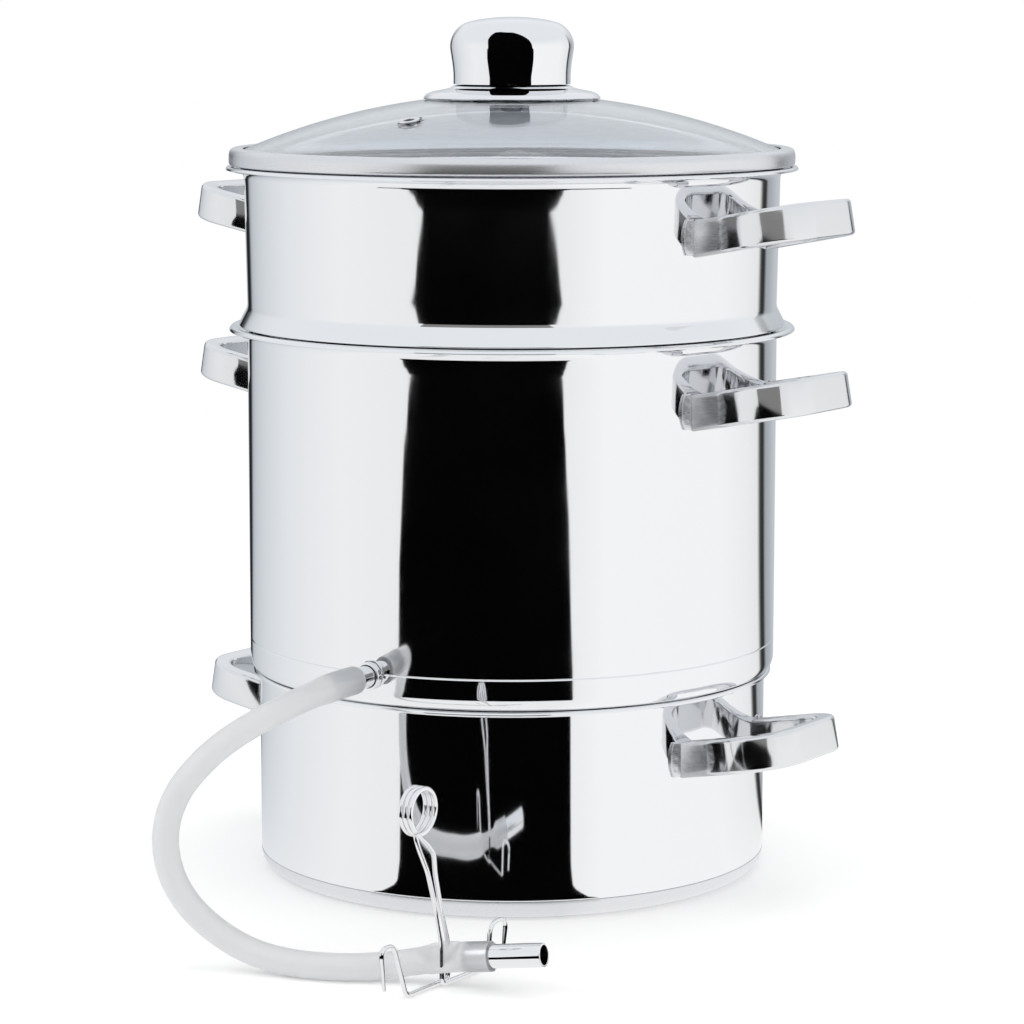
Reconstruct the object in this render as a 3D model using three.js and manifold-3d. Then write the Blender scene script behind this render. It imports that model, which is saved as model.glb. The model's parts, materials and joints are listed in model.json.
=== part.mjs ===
// Steam juicer: a water pot, a juice kettle with its hose and pinch clamp, a fruit basket and a glass lid.
// Millimetres, +Z up. The origin is the centre of the underside. The loop handles lie on X, and the
// juice outlet points along -Y, turned a little towards +X.
import * as THREE from "three";
import { mergeVertices } from "three/addons/utils/BufferGeometryUtils.js";
import Module from "manifold-3d";

const wasm = await Module();
wasm.setup();

// Clearances and fineness
const fitGap = 0.3; // between a piece and its seat
const overrun = 5; // how far a cutting solid runs past what it cuts
const mergeReach = 0.001; // vertices nearer than this are one vertex
const bigSides = 36; // facets round a vessel
const smallSides = 16; // facets round a pipe or screw
const knobSides = 22;
const holeSides = 6;
const cornerSteps = 2; // facets in a small rounded corner

// Vessels
const steelWall = 0.8;
const lipReach = 8; // how far a drawn lip flares out
const lipDrop = 5.2; // height of the flare under a lip
const lipCurl = 1.2; // rounded edge of a lip
const stepRound = 1.6; // small pressed corners

// Water pot
const potRadius = 125.5;
const potHeight = 100.1;
const potLipReach = 2.4;
const potLipDrop = 2.4;
const potTuck = 1.5; // the pot's side steps in behind the base cap
const capHeight = 10.4;
const capSide = 9.5; // width of the cap's curved side
const coreThickness = 5.1;
const coreInset = 1;

// Juice kettle
const kettleOverhang = 4.5; // the kettle is wider than the pot by this much all round
const kettleHeight = 168.8;
const seamHeight = 15; // weld between the floor dish and the wall
const kettleCorner = 3.2; // width of the dish's rounded bottom corner
const kettleCornerHeight = 6;
const shelfWidth = 2.9; // flat ring that rests on the pot's lip
const stepDepth = 4; // the dish sinks this far into the pot
const hubRadius = 60; // hole in the dish that the steam cone stands on
const hubHeight = 6;
const coneTopRadius = 28;
const coneHeight = 84; // above the shelf
const chimneyHeight = 8; // straight mouth at the cone's top
const coneSkirt = 5.6;

// Outlet spigot, hose and nozzle
const spigotTurn = 3.5; // degrees from -Y towards +X
const spigotHeight = 14.1; // axis above the kettle's shelf
const spigotOuter = 10.5;
const spigotWall = 1;
const spigotInside = 12; // length inside the kettle
const spigotReach = 36; // length outside it
const collarOuter = 13.2;
const collarLength = 3.4;
const hoseOuter = 12;
const hoseBore = 8;
const hoseStretchWall = 1.1; // wall where the hose is stretched over a pipe
const spigotSleeve = 22; // hose pushed onto the spigot
const nozzleSleeve = 11; // hose pushed onto the nozzle
const sleeveSpare = 1; // the hose stays wide this far past a pipe's end
const pinchHeight = 16.2; // hose squeezed flat by the clamp
const pinchThickness = 4;
const pinchSlip = 0.9; // the clamp's arms stand this far off the squeezed hose
const pinchBoreHeight = 12.2;
const pinchBore = 0.5;
const pinchReach = 7.2; // length over which the hose flattens
const nozzleOuter = 10.6;
const nozzleWall = 0.9;
const nozzleLength = 36;

// Fruit basket
const basketInset = 0.2; // the basket's foot is slimmer than the kettle
const basketFlare = 1.2; // and its top is wider than its foot
const basketHeight = 77.5; // from the bead to the lip
const beadReach = 4.7;
const beadRise = 8.5;
const beadTip = 0.6;
const colanderClearance = 2.7; // from the kettle's outside to the colander's
const colanderDepth = 76;
const colanderFlange = 8; // inward ring that carries the sieve floor
const sieveThickness = 1;
const sieveHole = 5;
const sieveSpacing = 21; // between rings of holes
const sieveInset = 0.9;

// Lid
const lidOverhang = 7.2; // the steel band stands out from the basket's wall
const lidBand = 8.2; // height of the steel band
const lidBandRound = 1.5;
const lidTopRound = 3; // rolled top of the band
const lidSkirtInset = 1; // from the basket's inner wall to the lid's skirt
const lidSkirtDepth = 5;
const lidLipWidth = 6.6; // the band laps over the glass this far
const lidLipRise = 0.6; // and its edge rises with the glass
const glassRadius = 333.5;
const glassThickness = 4;
const glassInset = 2; // glass edge inside the band
const ventPlace = 86; // vent's distance from the axis
const ventBore = 5;
const ventTube = 7.8;
const ventFlange = 10.4;
const ventFlangeThickness = 0.7;

// Knob
const knobHeight = 32.4;
const knobRadius = 30.2;
const knobWaist = 28.1;
const knobWaistHeight = 7;
const knobShoulder = 12.3;
const knobCrown = 1.8;
const knobWall = 1.2;
const knobFootRadius = 42.5;
const knobFootWall = 1;
const knobFootRoll = 6.5; // the foot's rounded brim
const knobSeal = 2.9;
const knobSealRadius = 20;
const knobArcFrom = 25; // degrees of the shoulder's curve
const knobArcTo = 80;
const bossRadius = 7;
const screwShank = 4.6;
const screwGrip = 7; // length inside the boss
const screwHeadRadius = 5.5;
const screwHeadHeight = 2.8;
const washerRadius = 9;
const washerThickness = 1.2;

// Loop handles
const handleReach = 48; // outermost face beyond the wall
const handleHalfWidth = 36.2; // outer half width of the loop
const handleCorner = 22; // outer corner radius
const strapHeight = 17;
const strapThickness = 8.5;
const strapWall = 1.3;
const strapRound = 1.9;
const handleTilt = 10.5; // degrees upwards
const handleBury = 9; // the strap runs this far into the wall before it is cut to it
const handleSteps = 3; // facets in each corner of the loop
const tabWidth = 6.2;
const tabThickness = 1.2;
const tabGap = 0.4;
const tabHeight = 16.6;
const tabSteps = 2;
const potHandleDrop = 28.6; // where each strap's middle meets its wall, below the vessel's top
const kettleHandleDrop = 32.2;
const basketHandleDrop = 29;

// Spring-wire pinch clamp
const wire = 2.1;
const wireSides = 6;
const coilMean = 20.2; // mean diameter
const coilPitch = 2.6;
const coilTurns = 2;
const coilLegAngle = 50; // degrees below level where each leg leaves the coil
const coilStepsPerTurn = 24;
const coilHeight = 80.6; // coil's axis above the table
const coilLean = 17.5; // coil's axis in front of the hose
const coilShift = -1.5; // along the hose
const clampShift = 0.8; // clamp's place along the hose from the pinch point of the route
const armSpread = 3.2; // between the two arms
const barSpread = 2.4; // between the two bars under the hose, which pass each other
const bendRadius = 2.6;
const bendSteps = 2;
const bendShare = 0.45; // a bend takes at most this share of a straight beside it
const frontHook = { place: 27.5, lean: 9, width: 9, height: 25.6 }; // place: its foot, from the hose
const rearHook = { place: 31.5, lean: 2, width: 12.5, height: 20 }; // lean: its inner leg's, outwards
const hookEnd = 7; // height of the free end
const hookEndTurn = 2; // the free end turns back by this much
const legSwing = 5.2; // how far the legs run on before they turn down
const armHeightShares = [0.88, 0.66, 0.3]; // points of each arm, from the coil down to the hose
const armSideShares = [0.8, 0.4, 0.28];
const wireStart = [1, 0, 0.2]; // a side of the wire that no stretch of it points along
const clampOpening = 0.3; // gap where the lever leaves the coil

// Route of the hose from the spigot's seat to the nozzle, chosen by hand
const hoseRoute = [
  [8.8, -143.9, 114.5], [9.5, -155.3, 114.5], [10.2, -165.6, 114.3], [11.0, -180.8, 113.3],
  [9.9, -200.8, 110.5], [6.2, -216.6, 105.8], [0.2, -229.1, 99.0], [-6.1, -239.3, 89.8],
  [-11.4, -246.5, 79.4], [-14.6, -250.5, 68.4], [-15.7, -251.8, 57.0], [-14.4, -251.2, 45.6],
  [-10.2, -249.5, 34.6], [-2.4, -246.5, 24.2], [9.7, -242.6, 15.0], [24.4, -239.2, 9.0],
  [43.0, -235.3, 6.4], [60.8, -229.8, 6.2], [75.2, -221.8, 6.8], [89.4, -213.4, 8.8],
  [103.6, -207.3, 11.9], [111.4, -205.95, 12.95], [119.0, -204.65, 13.95], [126.6, -203.3, 15.0],
];
const pinchIndex = 20; // the point of the route that the clamp squeezes
const hoseSides = 10;
const hoseStep = 12; // length of one facet along the hose

const degrees = Math.PI / 180;

// The vessels follow each other's radius
const kettleRadius = potRadius + kettleOverhang;
const basketRadius = kettleRadius - basketInset;
const basketTopRadius = basketRadius + basketFlare;
const beadRadius = basketRadius + beadReach;
const colanderRadius = kettleRadius - colanderClearance;
const lidRadius = basketTopRadius + lidOverhang;

// Finishes
const mirrorSteel = new THREE.MeshStandardMaterial({ color: 0xd8dadd, metalness: 1, roughness: 0.06 });
const satinSteel = new THREE.MeshStandardMaterial({ color: 0xc9ccd0, metalness: 1, roughness: 0.3 });
const coreAluminium = new THREE.MeshStandardMaterial({ color: 0xbfc1c4, metalness: 1, roughness: 0.4 });
const springWire = new THREE.MeshStandardMaterial({ color: 0xc2c3c4, metalness: 1, roughness: 0.14 });
const clearGlass = new THREE.MeshStandardMaterial({
  color: 0xe6eef2, metalness: 0, roughness: 0.03, transparent: true, opacity: 0.35,
});
const milkySilicone = new THREE.MeshStandardMaterial({
  color: 0xe9ecef, metalness: 0, roughness: 0.35, transparent: true, opacity: 0.8,
});
const sealSilicone = new THREE.MeshStandardMaterial({ color: 0xd7dadd, metalness: 0, roughness: 0.5 });

// Closed bodies
function signedVolume(position, index) {
  const [a, b, c] = [new THREE.Vector3(), new THREE.Vector3(), new THREE.Vector3()];
  let sum = 0;
  for (let i = 0; i < index.length; i += 3) {
    a.fromBufferAttribute(position, index[i]);
    b.fromBufferAttribute(position, index[i + 1]);
    c.fromBufferAttribute(position, index[i + 2]);
    sum += a.dot(b.cross(c));
  }
  return sum;
}

function closed(geometry) {
  geometry.deleteAttribute("normal");
  geometry.deleteAttribute("uv");
  const merged = mergeVertices(geometry, mergeReach);
  const source = merged.index.array;
  const index = [];
  for (let i = 0; i < source.length; i += 3) {
    const [a, b, c] = [source[i], source[i + 1], source[i + 2]];
    if (a !== b && b !== c && c !== a) {
      index.push(a, b, c);
    }
  }
  if (signedVolume(merged.attributes.position, index) < 0) {
    index.reverse();
  }
  merged.setIndex(index);
  return merged;
}

function toManifold(geometry) {
  return new wasm.Manifold(new wasm.Mesh({
    numProp: 3,
    vertProperties: new Float32Array(geometry.attributes.position.array),
    triVerts: new Uint32Array(geometry.index.array),
  }));
}

function cut(geometry, ...tools) {
  let solid = toManifold(geometry);
  for (const tool of tools) {
    solid = solid.subtract(toManifold(tool));
  }
  const mesh = solid.getMesh();
  const result = new THREE.BufferGeometry();
  result.setAttribute("position", new THREE.BufferAttribute(new Float32Array(mesh.vertProperties), 3));
  result.setIndex(new THREE.BufferAttribute(new Uint32Array(mesh.triVerts), 1));
  return result;
}

// Profiles, as points (radius, height)
const at = (radius, height) => new THREE.Vector2(radius, height);

function arc(x, y, radiusX, radiusY, from, to, steps = cornerSteps) {
  return Array.from({ length: steps + 1 }, (_, i) => {
    const angle = (from + ((to - from) * i) / steps) * degrees;
    return at(x + radiusX * Math.cos(angle), y + radiusY * Math.sin(angle));
  });
}

// The line that runs beside an open line, to its left, at one distance
function beside(line, distance) {
  const normals = line.slice(1).map((point, i) => {
    const along = point.clone().sub(line[i]).normalize();
    return at(-along.y, along.x);
  });
  return line.map((point, i) => {
    const before = normals[Math.max(i - 1, 0)];
    const after = normals[Math.min(i, normals.length - 1)];
    const middle = before.clone().add(after);
    const reach = (2 * distance) / middle.lengthSq();
    return point.clone().addScaledVector(middle, reach);
  });
}

function shell(line, wall) {
  return [...line, ...beside(line, wall).reverse()];
}

function turned(profile, sides = bigSides) {
  const loop = [...profile];
  if (profile[0].x !== 0 || profile[profile.length - 1].x !== 0) {
    loop.push(profile[0].clone());
  }
  return closed(new THREE.LatheGeometry(loop, sides).rotateX(Math.PI / 2));
}

function ring(inner, outer, bottom, top, sides = smallSides) {
  return turned([at(inner, bottom), at(outer, bottom), at(outer, top), at(inner, top)], sides);
}

function disc(radius, bottom, top, sides = smallSides) {
  return turned([at(0, bottom), at(radius, bottom), at(radius, top), at(0, top)], sides);
}

// A drawn lip: the outside of a wall that flares out under its top edge
function lip(radius, top, reach, drop) {
  const under = top - steelWall;
  const flare = arc(radius + reach - lipCurl, under - drop, -(reach - lipCurl), drop, 0, 90, cornerSteps + 1);
  return [...flare, at(radius + reach, under - lipCurl / 2)];
}

// Sweeps along a path
function carriedFrames(path, firstSide) {
  const tangents = path.map((point, i) => {
    const before = path[Math.max(i - 1, 0)];
    const after = path[Math.min(i + 1, path.length - 1)];
    return after.clone().sub(before).normalize();
  });
  const side = firstSide.clone().addScaledVector(tangents[0], -firstSide.dot(tangents[0])).normalize();
  const turn = new THREE.Quaternion();
  return path.map((point, i) => {
    if (i > 0) {
      side.applyQuaternion(turn.setFromUnitVectors(tangents[i - 1], tangents[i]));
    }
    return { point, side: side.clone(), rise: tangents[i].clone().cross(side) };
  });
}

function loop(frame, section) {
  return section.map((p) => {
    const across = frame.point.clone().addScaledVector(frame.side, p.x);
    return across.addScaledVector(frame.rise, p.y);
  });
}

function lofted(loops) {
  const count = loops[0].length;
  const positions = loops.flat().flatMap((p) => p.toArray());
  const index = [];
  for (let i = 0; i + 1 < loops.length; i += 1) {
    for (let j = 0; j < count; j += 1) {
      const k = (j + 1) % count;
      const [a, b] = [i * count + j, i * count + k];
      index.push(a, b, a + count, b, b + count, a + count);
    }
  }
  for (const [start, flip] of [[0, true], [(loops.length - 1) * count, false]]) {
    for (let j = 1; j + 1 < count; j += 1) {
      const [a, b, c] = [start, start + j, start + j + 1];
      index.push(...(flip ? [a, c, b] : [a, b, c]));
    }
  }
  const geometry = new THREE.BufferGeometry();
  geometry.setAttribute("position", new THREE.Float32BufferAttribute(positions, 3));
  geometry.setIndex(index);
  return closed(geometry);
}

function loftedTube(outerLoops, innerLoops) {
  const around = [...outerLoops, ...[...innerLoops].reverse()];
  const count = outerLoops[0].length;
  const positions = around.flat().flatMap((p) => p.toArray());
  const index = [];
  for (let i = 0; i < around.length; i += 1) {
    const next = (i + 1) % around.length;
    for (let j = 0; j < count; j += 1) {
      const k = (j + 1) % count;
      const [a, b, c, d] = [i * count + j, i * count + k, next * count + j, next * count + k];
      index.push(a, b, c, b, d, c);
    }
  }
  const geometry = new THREE.BufferGeometry();
  geometry.setAttribute("position", new THREE.Float32BufferAttribute(positions, 3));
  geometry.setIndex(index);
  return closed(geometry);
}

function oval(width, height, sides) {
  return Array.from({ length: sides }, (_, i) => {
    const angle = (360 * (i + 0.5) / sides) * degrees;
    return at((width / 2) * Math.cos(angle), (height / 2) * Math.sin(angle));
  });
}

function roundedBox(width, height, radius, steps) {
  const [x, y] = [width / 2 - radius, height / 2 - radius];
  return [
    ...arc(x, y, radius, radius, 0, 90, steps),
    ...arc(-x, y, radius, radius, 90, 180, steps),
    ...arc(-x, -y, radius, radius, 180, 270, steps),
    ...arc(x, -y, radius, radius, 270, 360, steps),
  ];
}

// The assembly: each vessel is a group that stands on the one below
const juicer = new THREE.Group();
const pot = new THREE.Group();
const kettle = new THREE.Group();
const basket = new THREE.Group();
const lid = new THREE.Group();
kettle.position.z = potHeight + fitGap;
basket.position.z = kettle.position.z + kettleHeight + fitGap;
lid.position.z = basket.position.z + basketHeight + fitGap;
juicer.add(pot, kettle, basket, lid);

function add(group, name, geometry, material) {
  const mesh = new THREE.Mesh(geometry, material);
  mesh.name = name;
  group.add(mesh);
  return mesh;
}

// Water pot
const coreBottom = steelWall + fitGap;
const potFloor = coreBottom + coreThickness + fitGap;
const capLine = [
  at(0, 0),
  ...arc(potRadius - capSide, capHeight, capSide, capHeight, -90, 0, cornerSteps + 1),
];
add(pot, "base_cap", turned(shell(capLine, steelWall)), satinSteel);

const coreRadius = potRadius - capSide - coreInset;
add(pot, "base_core_disc", disc(coreRadius, coreBottom, coreBottom + coreThickness, bigSides), coreAluminium);

const tuckRadius = potRadius - potTuck;
const tuckTop = capHeight + fitGap;
const potLine = [
  at(0, potFloor),
  ...arc(tuckRadius - stepRound, potFloor + stepRound, stepRound, stepRound, -90, 0, cornerSteps - 1),
  at(tuckRadius, tuckTop),
  at(potRadius, tuckTop),
  ...lip(potRadius, potHeight, potLipReach, potLipDrop),
];
add(pot, "base_pot_shell", turned(shell(potLine, steelWall)), mirrorSteel);

// Juice kettle: wall, floor dish and steam cone
const spigotDirection = new THREE.Vector3(Math.sin(spigotTurn * degrees), -Math.cos(spigotTurn * degrees), 0);
const upward = new THREE.Vector3(0, 0, 1);

// A solid turned about Z, laid along the spigot's axis from a distance out of the kettle's middle
function alongSpigot(geometry, distance) {
  const place = spigotDirection.clone().multiplyScalar(distance).setZ(spigotHeight);
  return geometry
    .applyQuaternion(new THREE.Quaternion().setFromUnitVectors(upward, spigotDirection))
    .translate(...place.toArray());
}

const spigotInnerEnd = kettleRadius - spigotInside;
const spigotLength = spigotInside + spigotReach;
const spigotHole = () => alongSpigot(disc(spigotOuter / 2 + fitGap, -overrun, spigotLength), spigotInnerEnd);

const kettleLine = [
  at(kettleRadius, seamHeight + fitGap / 2),
  ...lip(kettleRadius, kettleHeight, lipReach, lipDrop),
];
add(kettle, "kettle_wall", cut(turned(shell(kettleLine, steelWall)), spigotHole()), mirrorSteel);

const shelfOuter = kettleRadius - kettleCorner;
const stepRadius = shelfOuter - shelfWidth - stepRound / 2;
const floorLine = [
  at(hubRadius, hubHeight - stepDepth),
  at(hubRadius, stepRound - stepDepth),
  at(hubRadius + stepRound, -stepDepth),
  ...arc(stepRadius - stepRound, stepRound - stepDepth, stepRound, stepRound, -90, 0, cornerSteps - 1),
  at(stepRadius, -stepRound / 2),
  at(stepRadius + stepRound / 2, 0),
  ...arc(shelfOuter, kettleCornerHeight, kettleCorner, kettleCornerHeight, -90, 0, cornerSteps + 1),
  at(kettleRadius, seamHeight - fitGap / 2),
];
add(kettle, "kettle_floor", cut(turned(shell(floorLine, steelWall)), spigotHole()), mirrorSteel);

const coneFoot = hubRadius + steelWall + fitGap;
const coneBottom = steelWall + stepRound - stepDepth;
const coneLine = [
  at(coneTopRadius, coneHeight),
  at(coneTopRadius, coneHeight - chimneyHeight),
  at(coneFoot, coneBottom + coneSkirt),
  at(coneFoot, coneBottom),
];
add(kettle, "steam_cone", turned(shell(coneLine, steelWall)), satinSteel);

// Outlet spigot
const spigotRadius = spigotOuter / 2;
const spigotProfile = [
  at(spigotRadius - spigotWall, 0),
  at(spigotRadius, 0),
  at(spigotRadius, spigotLength - spigotWall),
  at(spigotRadius - spigotWall / 2, spigotLength),
  at(spigotRadius - spigotWall, spigotLength),
];
add(kettle, "outlet_spigot", alongSpigot(turned(spigotProfile, smallSides), spigotInnerEnd), mirrorSteel);

const collarInner = spigotRadius + fitGap;
const collarRound = collarLength / 2;
const collarProfile = [
  at(collarInner, 0),
  at(collarOuter / 2 - spigotWall, 0),
  at(collarOuter / 2, collarRound / 2),
  at(collarOuter / 2, collarLength - collarRound / 2),
  at(collarOuter / 2 - spigotWall, collarLength),
  at(collarInner, collarLength),
];
const collarRing = alongSpigot(turned(collarProfile, smallSides), kettleRadius + fitGap);
add(kettle, "spigot_collar", collarRing, mirrorSteel);

// Fruit basket
const flangeInner = colanderRadius - colanderFlange;
const colanderLine = [
  at(flangeInner, -colanderDepth),
  ...arc(colanderRadius - stepRound, stepRound - colanderDepth, stepRound, stepRound, -90, 0, cornerSteps - 1),
  at(colanderRadius, -stepRound - fitGap),
];
add(basket, "colander_wall", turned(shell(colanderLine, steelWall)), satinSteel);

const basketLine = [
  at(colanderRadius, -stepRound),
  at(colanderRadius + stepRound, -beadTip / 2),
  at(beadRadius - beadTip, 0),
  at(beadRadius, beadTip),
  at(basketRadius, beadRise),
  ...lip(basketTopRadius, basketHeight, lipReach, lipDrop),
];
add(basket, "basket_wall", turned(shell(basketLine, steelWall)), mirrorSteel);

// Perforated floor: rings of round holes, six more in each ring
function polygon(x, y, radius, sides) {
  return Array.from({ length: sides }, (_, i) => {
    const angle = (2 * Math.PI * i) / sides;
    return at(x + radius * Math.cos(angle), y + radius * Math.sin(angle));
  });
}

function sieve() {
  const radius = colanderRadius - steelWall - sieveInset - fitGap;
  const outline = new THREE.Shape(polygon(0, 0, radius, bigSides));
  const rings = Math.floor((radius - sieveHole) / sieveSpacing);
  for (let ringNumber = 0; ringNumber <= rings; ringNumber += 1) {
    for (const centre of polygon(0, 0, ringNumber * sieveSpacing, Math.max(1, ringNumber * 6))) {
      outline.holes.push(new THREE.Path(polygon(centre.x, centre.y, sieveHole / 2, holeSides)));
    }
  }
  return closed(new THREE.ExtrudeGeometry(outline, { depth: sieveThickness, bevelEnabled: false, steps: 1 }));
}

const sieveBottom = steelWall + fitGap - colanderDepth;
add(basket, "sieve_floor", sieve().translate(0, 0, sieveBottom), satinSteel);

// Lid: the steel band holds the glass dome in its channel
const skirtRadius = basketTopRadius - steelWall - lidSkirtInset;
const lidLine = [
  at(skirtRadius, -lidSkirtDepth),
  at(skirtRadius, -stepRound / 2),
  at(skirtRadius + stepRound / 2, 0),
  ...arc(lidRadius - lidBandRound, lidBandRound, lidBandRound, lidBandRound, -90, 0, cornerSteps - 1),
  ...arc(lidRadius - lidTopRound, lidBand - lidTopRound, lidTopRound, lidTopRound, 0, 90, cornerSteps - 1),
  at(lidRadius - lidLipWidth, lidBand + lidLipRise),
];
add(lid, "lid_rim", turned(shell(lidLine, steelWall)), satinSteel);

const glassEdge = lidRadius - steelWall - glassInset;
const glassInner = glassRadius - glassThickness;
const glassCentre = steelWall + fitGap - Math.sqrt(glassInner ** 2 - glassEdge ** 2);
const glassTop = glassCentre + glassRadius;
const glassUnder = glassCentre + glassInner;
const glassHeight = (radius) => glassCentre + Math.sqrt(glassRadius ** 2 - radius ** 2);
const boreRadius = screwShank / 2 + fitGap;

function domeLine(radius, from, to, steps) {
  return Array.from({ length: steps + 1 }, (_, i) => {
    const r = from + ((to - from) * i) / steps;
    return at(r, glassCentre + Math.sqrt(radius ** 2 - r ** 2));
  });
}

const ventTilt = Math.asin(ventPlace / glassRadius);

// A solid turned about Z, set on the glass at the vent, square to its surface
function atVent(geometry) {
  return geometry.rotateX(ventTilt).translate(0, -ventPlace, glassHeight(ventPlace));
}

const domeSteps = 6;
const domeProfile = [
  ...domeLine(glassRadius, boreRadius, glassEdge, domeSteps),
  ...domeLine(glassInner, boreRadius, glassEdge, domeSteps).reverse(),
];
const ventHole = atVent(disc(ventTube / 2 + fitGap, -glassThickness - overrun, overrun));
add(lid, "lid_glass", cut(turned(domeProfile), ventHole), clearGlass);

const grommetProfile = [
  at(ventBore / 2, -glassThickness - fitGap - ventFlangeThickness),
  at(ventFlange / 2, -glassThickness - fitGap - ventFlangeThickness),
  at(ventFlange / 2, -glassThickness - fitGap),
  at(ventTube / 2, -glassThickness - fitGap),
  at(ventTube / 2, fitGap),
  at(ventFlange / 2, fitGap),
  at(ventFlange / 2, fitGap + ventFlangeThickness),
  at(ventBore / 2, fitGap + ventFlangeThickness),
];
add(lid, "vent_grommet", atVent(turned(grommetProfile, smallSides)), satinSteel);

// Knob, its foot, seal, screw and washer
const sealBottom = glassTop + fitGap;
const footPlate = sealBottom + knobSeal + fitGap;
const knobBottom = footPlate + knobFootWall + fitGap;
const bossBore = screwShank / 2 + fitGap;
const knobFootLine = [
  at(bossBore, footPlate),
  at(knobWaist - knobFootWall, footPlate),
  at(knobFootRadius - knobFootRoll, footPlate - knobSeal),
  at(knobFootRadius, glassHeight(knobFootRadius) + fitGap),
];
add(lid, "knob_foot", turned(shell(knobFootLine, knobFootWall), knobSides), mirrorSteel);

add(lid, "knob_seal", ring(bossBore, knobSealRadius, sealBottom, sealBottom + knobSeal), sealSilicone);

const knobTop = knobBottom + knobHeight;
const knobOutside = [
  at(knobWaist, knobBottom),
  at(knobWaist, knobBottom + knobWaistHeight),
  at(knobRadius, knobTop - knobShoulder - knobCrown),
  ...arc(
    knobRadius - knobShoulder,
    knobTop - knobShoulder - knobCrown,
    knobShoulder,
    knobShoulder,
    knobArcFrom,
    knobArcTo,
  ),
  at(0, knobTop),
];
const bossDepth = screwGrip + fitGap;
const knobCavity = [
  at(0, knobBottom + bossDepth),
  at(bossBore, knobBottom + bossDepth),
  at(bossBore, knobBottom),
  at(bossRadius, knobBottom),
  at(bossRadius, knobTop - knobCrown - knobWall * 2),
  at(knobRadius - knobShoulder, knobTop - knobCrown - knobWall * 2),
  at(knobRadius - knobWall * 2, knobTop - knobShoulder - knobCrown - knobWall),
  at(knobWaist - knobWall, knobBottom + knobWaistHeight),
  at(knobWaist - knobWall, knobBottom),
];
add(lid, "lid_knob", turned([...knobOutside, ...knobCavity], knobSides), mirrorSteel);

const washerTop = glassUnder - fitGap;
const washerBottom = washerTop - washerThickness;
add(lid, "knob_washer", ring(bossBore, washerRadius, washerBottom, washerTop), satinSteel);

const headTop = washerBottom - fitGap;
const headRound = screwHeadHeight / 2;
const screwProfile = [
  at(0, headTop - screwHeadHeight),
  at(screwHeadRadius - headRound, headTop - screwHeadHeight),
  at(screwHeadRadius, headTop - headRound),
  at(screwHeadRadius, headTop),
  at(screwShank / 2, headTop),
  at(screwShank / 2, knobBottom + screwGrip),
  at(0, knobBottom + screwGrip),
];
add(lid, "knob_screw", turned(screwProfile, smallSides), satinSteel);

// Loop handles: a hollow strap bent into a U, cut to the round wall, between two flat welded tabs
function handlePath(wallRadius) {
  const reach = wallRadius + (handleReach - strapThickness / 2) / Math.cos(handleTilt * degrees);
  const radius = handleCorner - strapThickness / 2;
  const half = handleHalfWidth - strapThickness / 2;
  const x = reach - radius;
  const y = half - radius;
  const foot = Math.sqrt(wallRadius ** 2 - handleHalfWidth ** 2) - handleBury;
  const first = arc(x, y, radius, radius, 90, 0, handleSteps);
  const last = arc(x, -y, radius, radius, 0, -90, handleSteps);
  return [at(foot, half), ...first, ...last, at(foot, -half)].map((p) => new THREE.Vector3(p.x, p.y, 0));
}

function loopHandle(wallRadius, height) {
  const frames = carriedFrames(handlePath(wallRadius), new THREE.Vector3(0, 1, 0));
  const outer = roundedBox(strapThickness, strapHeight, strapRound, 2);
  const inner = roundedBox(strapThickness - 2 * strapWall, strapHeight - 2 * strapWall, strapRound / 2, 1);
  const strap = lofted(frames.map((frame) => loop(frame, outer)));
  const hollow = lofted(frames.map((frame) => loop(frame, inner)));
  for (const piece of [strap, hollow]) {
    piece.translate(-wallRadius, 0, 0).rotateY(-handleTilt * degrees).translate(wallRadius, 0, height);
  }
  const wall = disc(wallRadius + fitGap, height - strapHeight - overrun, height + strapHeight + overrun, bigSides);
  return cut(strap, wall, hollow);
}

function weldTab(wallRadius, height, side) {
  const inner = wallRadius + fitGap;
  const start = Math.asin((handleHalfWidth + tabGap) / wallRadius);
  const sweep = tabWidth / wallRadius;
  const outline = new THREE.Shape();
  const points = [];
  for (let i = 0; i <= tabSteps; i += 1) {
    const angle = start + (sweep * i) / tabSteps;
    points.push(at(inner * Math.cos(angle), inner * Math.sin(angle)));
  }
  for (let i = tabSteps; i >= 0; i -= 1) {
    const angle = start + (sweep * i) / tabSteps;
    const outer = inner + tabThickness;
    points.push(at(outer * Math.cos(angle), outer * Math.sin(angle)));
  }
  outline.setFromPoints(points);
  const tab = new THREE.ExtrudeGeometry(outline, { depth: tabHeight, bevelEnabled: false, steps: 1 });
  tab.translate(0, 0, height - tabHeight / 2);
  if (side < 0) {
    tab.scale(1, -1, 1);
  }
  return closed(tab);
}

function addHandles(group, vessel, wallRadius, height) {
  for (const [place, turn] of [["right", 0], ["left", Math.PI]]) {
    add(group, `${vessel}_handle_${place}`, loopHandle(wallRadius, height), mirrorSteel).rotation.z = turn;
    for (const [end, side] of [["front", -1], ["back", 1]]) {
      const name = `${vessel}_tab_${place}_${end}`;
      const away = place === "left" ? -side : side;
      add(group, name, weldTab(wallRadius, height, away), mirrorSteel).rotation.z = turn;
    }
  }
}

const basketHandleHeight = basketHeight - basketHandleDrop;
const basketHandleRadius = basketRadius
  + ((basketTopRadius - basketRadius) * (basketHandleHeight - beadRise)) / (basketHeight - beadRise);
addHandles(pot, "pot", potRadius, potHeight - potHandleDrop);
addHandles(kettle, "kettle", kettleRadius, kettleHeight - kettleHandleDrop);
addHandles(basket, "basket", basketHandleRadius, basketHandleHeight);

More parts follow.
